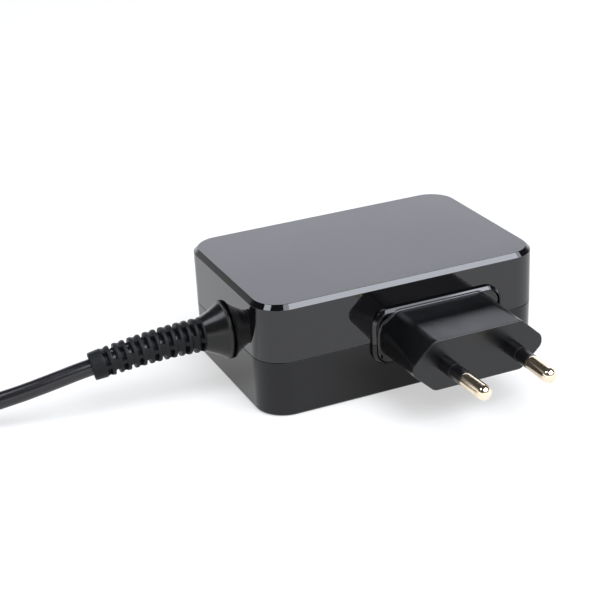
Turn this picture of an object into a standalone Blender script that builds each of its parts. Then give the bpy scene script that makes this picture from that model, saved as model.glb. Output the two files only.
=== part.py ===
"""Wall-plug power adapter for a laptop, in metres, +Z up.

The origin is the centre of the underside of the lower shell. The plug faces -Y, and the lead leaves
the short wall at -X, lies down on the surface and is wound into a coil, with its connector lying on top.
"""

from math import cos, pi, radians, sin

import bmesh
import bpy
from mathutils import Matrix, Vector

GAP = 0.0003

# Housing
LENGTH = 0.0790
WIDTH = 0.0531
HEIGHT = 0.0302
CORNER_RADIUS = 0.0082
TOP_CHAMFER = 0.00115
BOTTOM_ROUND = 0.0008
DRAFT = 0.00027
PARTING_Z = 0.0149
WALL = 0.0022
SKIRT = 0.0010
TONGUE_HEIGHT = 0.0016
EDGE = 0.0002
CORNER_STEPS = 8
CIRCLE_STEPS = 24

# Plug
PLUG_X = 0.0080
PLUG_Z = 0.0161
PLUG_REACH = 0.0214
RIM_DEPTH = 0.0019
RIM_HALF = (0.01855, 0.00755)
RIM_CORNER = 0.0042
BODY_HALF = (0.01745, 0.00690)
BODY_CORNER = 0.0037
RETAINER_HALF = (0.0192, 0.0088)
RETAINER_CORNER = 0.0030
RETAINER_THICKNESS = 0.0016
# The neck's octagon (half width, half height, half of its flat top, half of its upright side).
NECK_BASE = (0.0169, 0.00675, 0.0120, 0.0031)
NECK_MIDDLE = (0.0173, 0.00668, 0.0121, 0.0022)
NECK_FRONT = (0.0180, 0.00662, 0.0122, 0.0012)
NECK_LIP = (0.0177, 0.00635, 0.0120, 0.0011)
NECK_CORNER = 0.0014
LIP_CORNER = 0.0012
LIP_DEPTH = 0.0003
PIN_SPACING = 0.0185
PIN_TIP_SPACING = 0.0176
PIN_RADIUS = 0.0019
PIN_LENGTH = 0.0190
SLEEVE_LENGTH = 0.0094
SLEEVE_RADIUS = 0.0020
SLEEVE_SEAT = 0.0030
SHANK_RADIUS = 0.0013
PIN_INNER_Y = -0.0195

# Strain relief and lead
CORD_RADIUS = 0.0022
AXIS_Z = 0.01487
FLANGE_RADIUS = 0.0078
INNER_FLANGE_RADIUS = 0.0075
FLANGE_THICKNESS = 0.0008
CONE_FOOT_RADIUS = 0.0072
CONE_MIDDLE = (0.0035, 0.0058)
RELIEF_LENGTH = 0.0360
CONE_LENGTH = 0.0063
NECK_RADIUS = 0.00445
TIP_RADIUS = 0.00365
TIP_ROUND = 0.0004
WALL_HOLE_RADIUS = 0.0058
SLOT_COUNT = 13
FIRST_SLOT = 0.0077
SLOT_PITCH = 0.00205
SLOT_WIDTH = 0.0010

# The lead's route: its centre line from inside the housing to where the coil takes it.
LEAD_ROUTE = [
    (-0.0352, 0.0000, 0.01487),
    (-0.0400, 0.0000, 0.01487),
    (-0.0470, 0.0002, 0.01487),
    (-0.0538, 0.0004, 0.01475),
    (-0.0603, 0.0006, 0.01430),
    (-0.0667, 0.0008, 0.01360),
    (-0.0720, 0.0011, 0.01280),
    (-0.0782, 0.0018, 0.01160),
    (-0.0833, 0.0025, 0.01040),
    (-0.0884, 0.0032, 0.00920),
    (-0.0935, 0.0041, 0.00800),
    (-0.0980, 0.0051, 0.00700),
    (-0.1035, 0.0066, 0.00565),
    (-0.1090, 0.0084, 0.00425),
    (-0.1145, 0.0101, 0.00315),
    (-0.1200, 0.0115, 0.00247),
    (-0.1240, 0.0122, 0.00225),
    (-0.1270, 0.0124, 0.00220),
]

# Coil: twelve turns, three side by side and four high, tied at one place.
COIL_RADIUS = 0.0220
COIL_COLUMNS = 3
COIL_ROWS = 4
COIL_LIFT = 0.0009
COIL_CENTRE = (-0.1270, 0.0388)
TIE_THICKNESS = 0.0006
TIE_HALF_ANGLE = radians(13)
TIE_ANGLE = radians(60)

# The lead's last stretch leaves the coil's outer top turn, climbs and turns in across the coil.
TAIL_ANGLE = radians(291)
TAIL_RADIUS = 0.0140
CLIMB_BEFORE = 0.0120
CLIMB_LENGTH = 0.0320

# Connector, lying across the coil
CONNECTOR_RADIUS = 0.00525
CONNECTOR_RELIEF = 0.0120
CONNECTOR_GRIP = 0.0220
CONNECTOR_EDGE = 0.0008
SOCKET_DEPTH = 0.0040
BARREL_LENGTH = 0.0095
BARREL_RADIUS = 0.00275
BARREL_BORE = 0.0021
BARREL_EDGE = 0.0003
INSULATOR_BORE = 0.0015
INSULATOR_SETBACK = 0.0002
CONTACT_RADIUS = 0.0012
CONTACT_BORE = 0.0008
CONTACT_SETBACK = 0.0012

# Circuit board
BOARD_Z = 0.0050
BOARD_THICKNESS = 0.0016
BOARD_X = (-0.0340, 0.0360)
BOARD_Y = (-0.0235, 0.0235)
SEAT_Z = BOARD_Z + BOARD_THICKNESS + GAP
POST_PLACES = [(-0.031, -0.0200), (0.033, -0.0205), (-0.031, 0.0200), (0.033, 0.0205)]
POST_RADIUS = 0.0015
SHEET_Z = 0.0030
SHEET_THICKNESS = 0.0004


# ---------------------------------------------------------------- materials

def material(name, colour, roughness, metallic=0.0):
    made = bpy.data.materials.new(name)
    made.use_nodes = True
    shader = made.node_tree.nodes["Principled BSDF"]
    shader.inputs["Base Color"].default_value = (*colour, 1.0)
    shader.inputs["Roughness"].default_value = roughness
    shader.inputs["Metallic"].default_value = metallic
    made.diffuse_color = (*colour, 1.0)
    return made


def make_materials():
    return {
        "shell": material("shell_plastic", (0.045, 0.045, 0.052), 0.25),
        "plug": material("plug_plastic", (0.040, 0.040, 0.047), 0.45),
        "sleeve": material("sleeve_plastic", (0.010, 0.010, 0.012), 0.5),
        "pin": material("pin_metal", (0.86, 0.72, 0.50), 0.18, 1.0),
        "relief": material("relief_rubber", (0.028, 0.030, 0.032), 0.6),
        "cord": material("cord_jacket", (0.045, 0.045, 0.052), 0.4),
        "tie": material("tie_rubber", (0.020, 0.020, 0.022), 0.7),
        "board": material("board_laminate", (0.05, 0.16, 0.06), 0.5),
        "sheet": material("insulating_sheet", (0.60, 0.58, 0.50), 0.6),
        "steel": material("tinned_metal", (0.75, 0.75, 0.74), 0.3, 1.0),
        "aluminium": material("heatsink_aluminium", (0.78, 0.79, 0.80), 0.4, 1.0),
        "ferrite": material("ferrite", (0.07, 0.07, 0.075), 0.6),
        "copper": material("enamelled_copper", (0.72, 0.30, 0.12), 0.35, 1.0),
        "tape": material("yellow_tape", (0.80, 0.62, 0.08), 0.4),
        "package": material("component_package", (0.025, 0.025, 0.028), 0.5),
        "can": material("capacitor_sleeve", (0.05, 0.07, 0.16), 0.35),
        "disc": material("disc_coating", (0.08, 0.22, 0.50), 0.4),
        "film": material("film_capacitor_case", (0.62, 0.60, 0.52), 0.45),
        "bobbin": material("bobbin_plastic", (0.03, 0.03, 0.03), 0.5),
        "red": material("red_wire", (0.55, 0.03, 0.03), 0.4),
        "black": material("black_wire", (0.02, 0.02, 0.02), 0.4),
    }


# ---------------------------------------------------------------- modelling helpers

def clear_scene():
    for old in list(bpy.data.objects):
        bpy.data.objects.remove(old, do_unlink=True)


def add_mesh(name, mesh_data, finish):
    """An object in the scene that holds the bmesh, with its faces turned outwards."""
    bmesh.ops.remove_doubles(mesh_data, verts=mesh_data.verts, dist=1e-6)
    bmesh.ops.recalc_face_normals(mesh_data, faces=mesh_data.faces)
    mesh = bpy.data.meshes.new(name)
    mesh_data.to_mesh(mesh)
    mesh_data.free()
    mesh.shade_smooth()
    mesh.set_sharp_from_angle(angle=radians(32))
    mesh.materials.append(finish)
    made = bpy.data.objects.new(name, mesh)
    bpy.context.scene.collection.objects.link(made)
    return made


def skin(sections, closed=False):
    """A bmesh with one ring of faces between each section and the next, and a cap on either end."""
    data = bmesh.new()
    rings = [[data.verts.new(point) for point in section] for section in sections]
    pairs = list(zip(rings, rings[1:]))
    if closed:
        pairs.append((rings[-1], rings[0]))
    for first, second in pairs:
        count = len(first)
        for i in range(count):
            j = (i + 1) % count
            data.faces.new((first[i], first[j], second[j], second[i]))
    if not closed:
        data.faces.new(rings[0])
        data.faces.new(rings[-1])
    return data


def loft(name, sections, finish, closed=False):
    return add_mesh(name, skin(sections, closed), finish)


def rounded_rectangle(half_x, half_y, radius, steps=CORNER_STEPS):
    """Points of a rectangle with round corners, anticlockwise from its +X side."""
    points = []
    for quarter, (sign_x, sign_y) in enumerate([(1, 1), (-1, 1), (-1, -1), (1, -1)]):
        for step in range(steps + 1):
            angle = (quarter + step / steps) * pi / 2
            points.append((
                sign_x * (half_x - radius) + radius * cos(angle),
                sign_y * (half_y - radius) + radius * sin(angle),
            ))
    return points


def rounded_polygon(corners, radius, steps=3):
    """Points of a polygon whose corners are rounded with arcs of one radius."""
    points = []
    count = len(corners)
    for i, corner in enumerate(corners):
        corner = Vector(corner)
        before = (Vector(corners[i - 1]) - corner).normalized()
        after = (Vector(corners[(i + 1) % count]) - corner).normalized()
        half_turn = before.angle(after) / 2
        centre = corner + (before + after).normalized() * (radius / sin(half_turn))
        start = corner + before * (radius * cos(half_turn) / sin(half_turn)) - centre
        for step in range(steps + 1):
            turn = Matrix.Rotation((pi - 2 * half_turn) * step / steps, 2)
            points.append(tuple(centre + turn @ start))
    return points


def level(outline, z):
    return [(x, y, z) for x, y in outline]


def facing_front(outline, y):
    """An outline of (sideways, up) around the plug's axis, set in a plane of constant Y."""
    return [(PLUG_X + u, y, PLUG_Z + v) for u, v in outline]


def ring(centre, along, radius, count=CIRCLE_STEPS):
    """A circle's points around a centre, square to a direction, starting at its top."""
    along = Vector(along).normalized()
    upright = Vector((0, 0, 1))
    if abs(along.z) > 0.99:
        upright = Vector((0, 1, 0))
    side = along.cross(upright).normalized()
    top = side.cross(along).normalized()
    points = []
    for i in range(count):
        angle = 2 * pi * i / count
        points.append(Vector(centre) + radius * (cos(angle) * top + sin(angle) * side))
    return points


def turned(name, start, along, profile, finish, closed=False, count=CIRCLE_STEPS):
    """A solid turned about an axis, from (distance along it, radius) pairs."""
    start, along = Vector(start), Vector(along).normalized()
    sections = [ring(start + along * place, along, radius, count) for place, radius in profile]
    return loft(name, sections, finish, closed)


def box(name, low, high, finish, edge=0.0):
    data = bmesh.new()
    size = Vector(high) - Vector(low)
    middle = (Vector(high) + Vector(low)) / 2
    bmesh.ops.create_cube(data, size=1, matrix=Matrix.Translation(middle) @ Matrix.Diagonal((*size, 1)))
    if edge:
        bmesh.ops.bevel(data, geom=data.edges[:], offset=edge, segments=1, affect="EDGES")
    return add_mesh(name, data, finish)


def helper(made):
    made.hide_render = True
    made.hide_viewport = False
    made.display_type = "WIRE"
    return made


def combine(target, other, operation):
    """Adds a Boolean by a helper object that stays in the scene as a wire frame."""
    modifier = target.modifiers.new(other.name, "BOOLEAN")
    modifier.object = other
    modifier.operation = operation
    modifier.solver = "EXACT"
    helper(other)


def smooth_path(points, spacing):
    """Evenly spaced points on a smooth curve through the route's points (Catmull-Rom)."""
    route = [Vector(point) for point in points]
    padded = [2 * route[0] - route[1], *route, 2 * route[-1] - route[-2]]
    fine = []
    for a, b, c, d in zip(padded, padded[1:], padded[2:], padded[3:]):
        for step in range(12):
            t = step / 12
            fine.append(0.5 * (
                2 * b + (c - a) * t + (2 * a - 5 * b + 4 * c - d) * t**2
                + (3 * b - a - 3 * c + d) * t**3
            ))
    fine.append(route[-1])
    lengths = [0.0]
    for first, second in zip(fine, fine[1:]):
        lengths.append(lengths[-1] + (second - first).length)
    count = max(2, round(lengths[-1] / spacing))
    even, place = [], 0
    for i in range(count + 1):
        wanted = lengths[-1] * i / count
        while place < len(fine) - 2 and lengths[place + 1] < wanted:
            place += 1
        share = (wanted - lengths[place]) / (lengths[place + 1] - lengths[place])
        even.append(fine[place].lerp(fine[place + 1], share))
    return even


def tube(name, points, radius, finish, resolution=2):
    curve = bpy.data.curves.new(name, "CURVE")
    curve.dimensions = "3D"
    curve.bevel_depth = radius
    curve.bevel_resolution = resolution
    curve.use_fill_caps = True
    curve.materials.append(finish)
    spline = curve.splines.new("POLY")
    spline.points.add(len(points) - 1)
    for point, place in zip(spline.points, points):
        point.co = (*place, 1.0)
    made = bpy.data.objects.new(name, curve)
    bpy.context.scene.collection.objects.link(made)
    return made


# ---------------------------------------------------------------- housing

def housing_outline(inset, z):
    radius = max(CORNER_RADIUS - inset, 0.0015)
    return level(rounded_rectangle(LENGTH / 2 - inset, WIDTH / 2 - inset, radius), z)


def rim_half(name, keep_above):
    """One half of the raised rim around the plug, cut level with the parting line."""
    outer = rounded_rectangle(*RIM_HALF, RIM_CORNER, 5)
    lip = rounded_rectangle(RIM_HALF[0] - EDGE, RIM_HALF[1] - EDGE, RIM_CORNER - EDGE, 5)
    wall_y = -WIDTH / 2
    data = skin([
        facing_front(outer, wall_y + WALL / 2),
        facing_front(outer, wall_y - RIM_DEPTH + EDGE),
        facing_front(lip, wall_y - RIM_DEPTH),
    ])
    cut_z = PARTING_Z + (GAP if keep_above else -GAP) / 2
    faces = data.verts[:] + data.edges[:] + data.faces[:]
    result = bmesh.ops.bisect_plane(
        data, geom=faces, plane_co=(0, 0, cut_z), plane_no=(0, 0, 1),
        clear_inner=keep_above, clear_outer=not keep_above,
    )
    edges = [item for item in result["geom_cut"] if isinstance(item, bmesh.types.BMEdge)]
    bmesh.ops.contextual_create(data, geom=edges)
    return add_mesh(name, data, bpy.data.materials["shell_plastic"])


def plug_opening(name):
    outline = rounded_rectangle(BODY_HALF[0] + GAP, BODY_HALF[1] + GAP, BODY_CORNER + GAP, 5)
    sections = [facing_front(outline, y) for y in (-WIDTH / 2 + 0.006, -WIDTH / 2 - 0.006)]
    return loft(name, sections, bpy.data.materials["shell_plastic"])


def lead_opening(name):
    start = (-LENGTH / 2 - 0.005, 0, AXIS_Z)
    return turned(name, start, (1, 0, 0), [(0, WALL_HOLE_RADIUS), (0.010, WALL_HOLE_RADIUS)],
                  bpy.data.materials["shell_plastic"])


def make_upper_shell(finish):
    rim_z = PARTING_Z + GAP / 2
    shell = loft("upper_shell", [
        housing_outline(TOP_CHAMFER, HEIGHT),
        housing_outline(0, HEIGHT - TOP_CHAMFER),
        housing_outline(0, rim_z),
        housing_outline(SKIRT, rim_z),
        housing_outline(SKIRT, rim_z + TONGUE_HEIGHT + 2 * GAP),
        housing_outline(WALL, rim_z + TONGUE_HEIGHT + 2 * GAP),
        housing_outline(WALL, HEIGHT - WALL),
    ], finish)
    combine(shell, rim_half("upper_rim", True), "UNION")
    combine(shell, plug_opening("upper_plug_opening"), "DIFFERENCE")
    combine(shell, lead_opening("upper_lead_opening"), "DIFFERENCE")
    return shell


def make_lower_shell(finish):
    rim_z = PARTING_Z - GAP / 2
    tongue = SKIRT + GAP
    shell = loft("lower_shell", [
        housing_outline(DRAFT + BOTTOM_ROUND, 0),
        housing_outline(DRAFT + BOTTOM_ROUND * 0.29, BOTTOM_ROUND * 0.29),
        housing_outline(DRAFT, BOTTOM_ROUND),
        housing_outline(0, rim_z),
        housing_outline(tongue, rim_z),
        housing_outline(tongue, rim_z + TONGUE_HEIGHT),
        housing_outline(WALL, rim_z + TONGUE_HEIGHT),
        housing_outline(WALL + DRAFT, WALL),
    ], finish)
    for index, (x, y) in enumerate(POST_PLACES):
        post = turned(f"board_post_{index}", (x, y, WALL / 2), (0, 0, 1),
                      [(0, POST_RADIUS), (BOARD_Z - GAP - WALL / 2, POST_RADIUS)], finish, count=12)
        combine(shell, post, "UNION")
    combine(shell, rim_half("lower_rim", False), "UNION")
    combine(shell, plug_opening("lower_plug_opening"), "DIFFERENCE")
    combine(shell, lead_opening("lower_lead_opening"), "DIFFERENCE")
    return shell


# ---------------------------------------------------------------- plug

def eight_corners(half_width, half_height, flat, side):
    """An octagon: a flat top and bottom, and short upright sides."""
    quarter = [(half_width, side), (flat, half_height)]
    return [
        *quarter,
        (-flat, half_height), (-half_width, side),
        (-half_width, -side), (-flat, -half_height),
        (flat, -half_height), (half_width, -side),
    ]


def round_cornered(half, radius):
    cut = radius * (1 - 0.4142)
    return rounded_polygon(eight_corners(half[0], half[1], half[0] - cut, half[1] - cut), radius * 0.999)


def pin_axis(side):
    """Where a pin's axis passes the plug's face, and its direction out of it."""
    face_y = -WIDTH / 2 - PLUG_REACH
    start = Vector((PLUG_X + side * PIN_SPACING / 2, face_y, PLUG_Z))
    lean = side * (PIN_TIP_SPACING - PIN_SPACING) / 2
    return start, Vector((lean, -PIN_LENGTH, 0)).normalized()


def make_plug_body(finish):
    wall_y = -WIDTH / 2
    face_y = wall_y - PLUG_REACH
    inside_y = wall_y + WALL + GAP
    flange_y = wall_y - RIM_DEPTH + EDGE
    retainer = round_cornered(RETAINER_HALF, RETAINER_CORNER)
    flange = round_cornered(BODY_HALF, BODY_CORNER)
    flange_lip = round_cornered((BODY_HALF[0] - EDGE, BODY_HALF[1] - EDGE), BODY_CORNER - EDGE)
    body = loft("plug_body", [
        facing_front(retainer, inside_y + RETAINER_THICKNESS),
        facing_front(retainer, inside_y),
        facing_front(flange, inside_y),
        facing_front(flange, flange_y + EDGE),
        facing_front(flange_lip, flange_y),
        facing_front(rounded_polygon(eight_corners(*NECK_BASE), NECK_CORNER), flange_y),
        facing_front(rounded_polygon(eight_corners(*NECK_MIDDLE), NECK_CORNER), wall_y - PLUG_REACH / 2),
        facing_front(rounded_polygon(eight_corners(*NECK_FRONT), NECK_CORNER), face_y + LIP_DEPTH),
        facing_front(rounded_polygon(eight_corners(*NECK_LIP), LIP_CORNER), face_y),
    ], finish)
    clear, length = 0.004, 0.036
    for side, name in ((-1, "left"), (1, "right")):
        start, along = pin_axis(side)
        bore = turned(f"pin_bore_{name}", start + clear * along, -along, [
            (0, SLEEVE_RADIUS + GAP), (clear + SLEEVE_SEAT, SLEEVE_RADIUS + GAP),
            (clear + SLEEVE_SEAT, SHANK_RADIUS + GAP), (length, SHANK_RADIUS + GAP),
        ], finish, count=16)
        combine(body, bore, "DIFFERENCE")
    return body


def make_pins(pin_finish, sleeve_finish, contact_finish):
    contact_half, contact_thickness = 0.0018, 0.0006
    for side, name in ((-1, "left"), (1, "right")):
        start, along = pin_axis(side)
        inner = start.y - PIN_INNER_Y
        dome = [(PIN_LENGTH - PIN_RADIUS * (1 - sin(a)), PIN_RADIUS * cos(a))
                for a in (radians(0), radians(25), radians(48), radians(68), radians(84))]
        turned(f"plug_pin_{name}", start, along, [
            (inner, SHANK_RADIUS), (SLEEVE_LENGTH + GAP, SHANK_RADIUS),
            (SLEEVE_LENGTH + GAP, PIN_RADIUS), *dome,
        ], pin_finish, count=20)
        turned(f"pin_sleeve_{name}", start, along, [
            (GAP - SLEEVE_SEAT, SHANK_RADIUS + GAP), (GAP - SLEEVE_SEAT, SLEEVE_RADIUS),
            (SLEEVE_LENGTH - EDGE, SLEEVE_RADIUS), (SLEEVE_LENGTH, SLEEVE_RADIUS - EDGE),
            (SLEEVE_LENGTH, SHANK_RADIUS + GAP),
        ], sleeve_finish, closed=True, count=20)
        low = (start.x - contact_half, PIN_INNER_Y + GAP, SEAT_Z)
        high = (start.x + contact_half, PIN_INNER_Y + GAP + contact_thickness, PLUG_Z + SLEEVE_RADIUS)
        box(f"pin_contact_{name}", low, high, contact_finish)


# ---------------------------------------------------------------- strain relief

def relief_frame(distance):
    """The centre line's point and direction at a distance out from the wall."""
    spacing = 0.0005
    path = smooth_path(LEAD_ROUTE, spacing)
    nearest = min(range(len(path)), key=lambda i: abs(path[i].x + LENGTH / 2))
    place = nearest + round(distance / spacing)
    place = min(max(place, 1), len(path) - 2)
    along = (path[place + 1] - path[place - 1]).normalized()
    return path[place], along


def slot_sectors():
    """(distance from the wall, first angle, last angle) of each cut, 0 at the front and 90 on top."""
    sectors = []
    for index in range(SLOT_COUNT):
        distance = FIRST_SLOT + SLOT_PITCH * index
        if index % 2:
            sectors += [(distance, 35, 145), (distance, 215, 325)]
        else:
            sectors += [(distance, 9, 64), (distance, 116, 171), (distance, 189, 244), (distance, 296, 351)]
    return sectors


def make_slot_cutter(finish):
    """One helper mesh with a wedge of ring for each cut through the ribbed part."""
    data = bmesh.new()
    inner, outer, steps = CORD_RADIUS + 0.0001, NECK_RADIUS + 0.0015, 6
    for distance, first, last in slot_sectors():
        centre, along = relief_frame(distance)
        front = Vector((0, -1, 0))
        top = along.cross(front).normalized()
        top = top if top.z > 0 else -top
        front = (front - front.dot(along) * along).normalized()
        corners = [(-SLOT_WIDTH / 2, inner), (-SLOT_WIDTH / 2, outer), (SLOT_WIDTH / 2, outer),
                   (SLOT_WIDTH / 2, inner)]
        rings = []
        for step in range(steps + 1):
            angle = radians(first + (last - first) * step / steps)
            out = cos(angle) * front + sin(angle) * top
            rings.append([data.verts.new(centre + along * shift + out * radius) for shift, radius in corners])
        for one, two in zip(rings, rings[1:]):
            for i in range(4):
                j = (i + 1) % 4
                data.faces.new((one[i], one[j], two[j], two[i]))
        data.faces.new(rings[0])
        data.faces.new(rings[-1])
    return add_mesh("relief_slots", data, finish)


def make_strain_relief(finish):
    bore = CORD_RADIUS + GAP
    inside, inmost = -(WALL + GAP), -(WALL + GAP + 0.0014)
    outline = [
        (inmost, bore), (inmost, INNER_FLANGE_RADIUS), (inside, INNER_FLANGE_RADIUS),
        (inside, WALL_HOLE_RADIUS - GAP), (GAP, WALL_HOLE_RADIUS - GAP), (GAP, FLANGE_RADIUS),
        (FLANGE_THICKNESS, FLANGE_RADIUS), (FLANGE_THICKNESS + EDGE / 2, CONE_FOOT_RADIUS),
        CONE_MIDDLE, (CONE_LENGTH, NECK_RADIUS),
    ]
    steps = 8
    for step in range(1, steps + 1):
        share = step / steps
        place = CONE_LENGTH + (RELIEF_LENGTH - TIP_ROUND - CONE_LENGTH) * share
        outline.append((place, NECK_RADIUS + (TIP_RADIUS - NECK_RADIUS) * share))
    outline += [(RELIEF_LENGTH, TIP_RADIUS - TIP_ROUND), (RELIEF_LENGTH, bore)]
    back = [(RELIEF_LENGTH * (1 - step / steps), bore) for step in range(1, steps + 1)]
    sections = []
    for distance, radius in outline + back:
        if distance < 0.001:
            centre, along = Vector((-LENGTH / 2 - distance, 0, AXIS_Z)), Vector((-1, 0, 0))
        else:
            centre, along = relief_frame(distance)
        sections.append(ring(centre, along, radius, 28))
    relief = loft("strain_relief", sections, finish, closed=True)
    combine(relief, make_slot_cutter(finish), "DIFFERENCE")
    return relief


# ---------------------------------------------------------------- lead, coil and connector

COIL_TOP = COIL_LIFT + 2 * CORD_RADIUS * COIL_ROWS
CONNECTOR_Z = COIL_TOP + GAP + CONNECTOR_RADIUS


def tail_place(turned_by):
    """The lead's centre after an angle turned clockwise past the place where it leaves the coil."""
    outer = COIL_RADIUS + CORD_RADIUS * (COIL_COLUMNS - 1)
    radius = outer if turned_by < 0 else TAIL_RADIUS
    centre = Vector(COIL_CENTRE) + (outer - radius) * Vector((cos(TAIL_ANGLE), sin(TAIL_ANGLE)))
    angle = TAIL_ANGLE - turned_by
    share = min(max((radius * turned_by + CLIMB_BEFORE) / CLIMB_LENGTH, 0.0), 1.0)
    share = share * share * (3 - 2 * share)
    low = COIL_TOP - CORD_RADIUS
    return Vector((
        centre.x + radius * cos(angle), centre.y + radius * sin(angle), low + (CONNECTOR_Z - low) * share,
    ))


def tail_route():
    return [tail_place(radians(degrees)) for degrees in range(-30, 91, 10)]


def connector_frame():
    """Where the connector starts, a gap past the lead's end, and the way it points."""
    along = Vector((cos(TAIL_ANGLE), sin(TAIL_ANGLE), 0)) * -1
    return tail_place(pi / 2) + GAP * along, along


def make_cord(finish, tie_finish):
    half_width, half_height = CORD_RADIUS * COIL_COLUMNS, CORD_RADIUS * COIL_ROWS
    reach = COIL_RADIUS + half_width + CORD_RADIUS + GAP
    clear_z = COIL_TOP + CORD_RADIUS + GAP
    lead = [p for p in smooth_path(LEAD_ROUTE, 0.0052) if (p.xy - Vector(COIL_CENTRE)).length > reach]
    tail = [p for p in smooth_path(tail_route(), 0.0025) if p.z > clear_z]
    tube("cord_lead", lead, CORD_RADIUS, finish)
    tube("cord_tail", tail, CORD_RADIUS, finish)
    centre = Vector((*COIL_CENTRE, COIL_LIFT + half_height))

    def around(angle, grow, corner):
        out = Vector((cos(angle), sin(angle), 0))
        outline = rounded_rectangle(half_width + grow, half_height + grow, corner, 2)
        return [centre + out * (COIL_RADIUS + u) + Vector((0, 0, v)) for u, v in outline]

    turn_steps, tie_steps = 40, 6
    turns = [around(2 * pi * i / turn_steps, 0, CORD_RADIUS) for i in range(turn_steps)]
    loft("cord_coil", turns, finish, closed=True)
    angles = [TIE_ANGLE + TIE_HALF_ANGLE * (2 * i / tie_steps - 1) for i in range(tie_steps + 1)]
    outer = [around(a, GAP + TIE_THICKNESS, CORD_RADIUS + TIE_THICKNESS) for a in angles]
    inner = [around(a, GAP, CORD_RADIUS) for a in reversed(angles)]
    loft("coil_tie", outer + inner, tie_finish, closed=True)


def make_connector(finish, metal, insulator):
    start, along = connector_frame()
    shoulder = CONNECTOR_RELIEF
    end = CONNECTOR_RELIEF + CONNECTOR_GRIP
    socket = end - SOCKET_DEPTH
    turned("connector_grip", start, along, [
        (0, CORD_RADIUS + 0.0004), (shoulder / 2, 0.0033), (shoulder, 0.0037),
        (shoulder + 0.0004, 0.0046), (shoulder + 0.0012, CONNECTOR_RADIUS),
        (end - CONNECTOR_EDGE, CONNECTOR_RADIUS), (end, CONNECTOR_RADIUS - CONNECTOR_EDGE),
        (end, BARREL_RADIUS + GAP), (socket, BARREL_RADIUS + GAP),
    ], finish)
    base = socket + GAP
    tip = end + BARREL_LENGTH
    turned("connector_barrel", start, along, [
        (base, BARREL_BORE), (base, BARREL_RADIUS), (tip - BARREL_EDGE, BARREL_RADIUS),
        (tip, BARREL_RADIUS - BARREL_EDGE), (tip, BARREL_BORE),
    ], metal, closed=True, count=20)
    turned("connector_insulator", start, along, [
        (base, INSULATOR_BORE), (base, BARREL_BORE - GAP), (tip - INSULATOR_SETBACK, BARREL_BORE - GAP),
        (tip - INSULATOR_SETBACK, INSULATOR_BORE),
    ], insulator, closed=True, count=20)
    turned("connector_contact", start, along, [
        (base, CONTACT_BORE), (base, CONTACT_RADIUS), (tip - CONTACT_SETBACK, CONTACT_RADIUS),
        (tip - CONTACT_SETBACK, CONTACT_BORE),
    ], metal, closed=True, count=16)


# ---------------------------------------------------------------- inside

def plate(name, x_range, y_range, z, thickness, finish):
    """A flat sheet with round corners."""
    outline = rounded_rectangle((x_range[1] - x_range[0]) / 2, (y_range[1] - y_range[0]) / 2, 0.0055, 4)
    middle_x, middle_y = sum(x_range) / 2, sum(y_range) / 2
    moved = [(middle_x + x, middle_y + y) for x, y in outline]
    return loft(name, [level(moved, z), level(moved, z + thickness)], finish)


def make_board(finish, sheet_finish, package):
    plate("main_board", BOARD_X, BOARD_Y, BOARD_Z, BOARD_THICKNESS, finish)
    sheet = plate("insulation_sheet", (-0.0355, 0.0360), (-0.0230, 0.0230), SHEET_Z, SHEET_THICKNESS,
                  sheet_finish)
    for index, (x, y) in enumerate(POST_PLACES):
        hole = turned(f"sheet_hole_{index}", (x, y, SHEET_Z - 0.001), (0, 0, 1),
                      [(0, POST_RADIUS + GAP), (0.003, POST_RADIUS + GAP)], sheet_finish, count=12)
        combine(sheet, hole, "DIFFERENCE")
    box("controller_chip", (-0.0125, -0.0025, BOARD_Z - GAP - 0.0010), (-0.0075, 0.0015, BOARD_Z - GAP), package)


def stand(name, place, radius, height, finish, count=20):
    """A round component that stands on the board, with a narrower foot and top."""
    edge = min(0.0005, radius / 4)
    turned(name, (*place, SEAT_Z), (0, 0, 1),
           [(0, radius - edge), (edge, radius), (height - edge, radius), (height, radius - edge)],
           finish, count=count)


def disc(name, place, radius, thickness, finish):
    """A coated disc that stands on its edge, facing front."""
    start = (place[0], place[1] - thickness / 2, SEAT_Z + radius)
    edge = thickness / 4
    turned(name, start, (0, 1, 0),
           [(0, radius - edge), (edge, radius), (thickness - edge, radius), (thickness, radius - edge)],
           finish, count=20)


def on_board(name, centre, size, height, finish, edge=0.0003):
    low = (centre[0] - size[0] / 2, centre[1] - size[1] / 2, SEAT_Z)
    high = (centre[0] + size[0] / 2, centre[1] + size[1] / 2, SEAT_Z + height)
    return box(name, low, high, finish, edge)


def make_filter_parts(finishes):
    stand("input_fuse", (0.0318, -0.0165), 0.0036, 0.0075, finishes["package"])
    disc("inrush_thermistor", (0.0300, -0.0095), 0.0042, 0.0032, finishes["bobbin"])
    disc("surge_varistor", (0.0232, -0.0185), 0.0034, 0.0036, finishes["disc"])
    on_board("suppression_capacitor", (0.0080, -0.0135), (0.0140, 0.0075), 0.0120, finishes["film"])
    on_board("bridge_rectifier", (0.0240, -0.0035), (0.0140, 0.0036), 0.0110, finishes["package"])


def ring_section(centre, angle, outline):
    """An outline of (radius, sideways) turned about an X axis through a centre."""
    return [Vector((centre[0] + u, centre[1] + r * cos(angle), centre[2] + r * sin(angle))) for r, u in outline]


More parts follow.
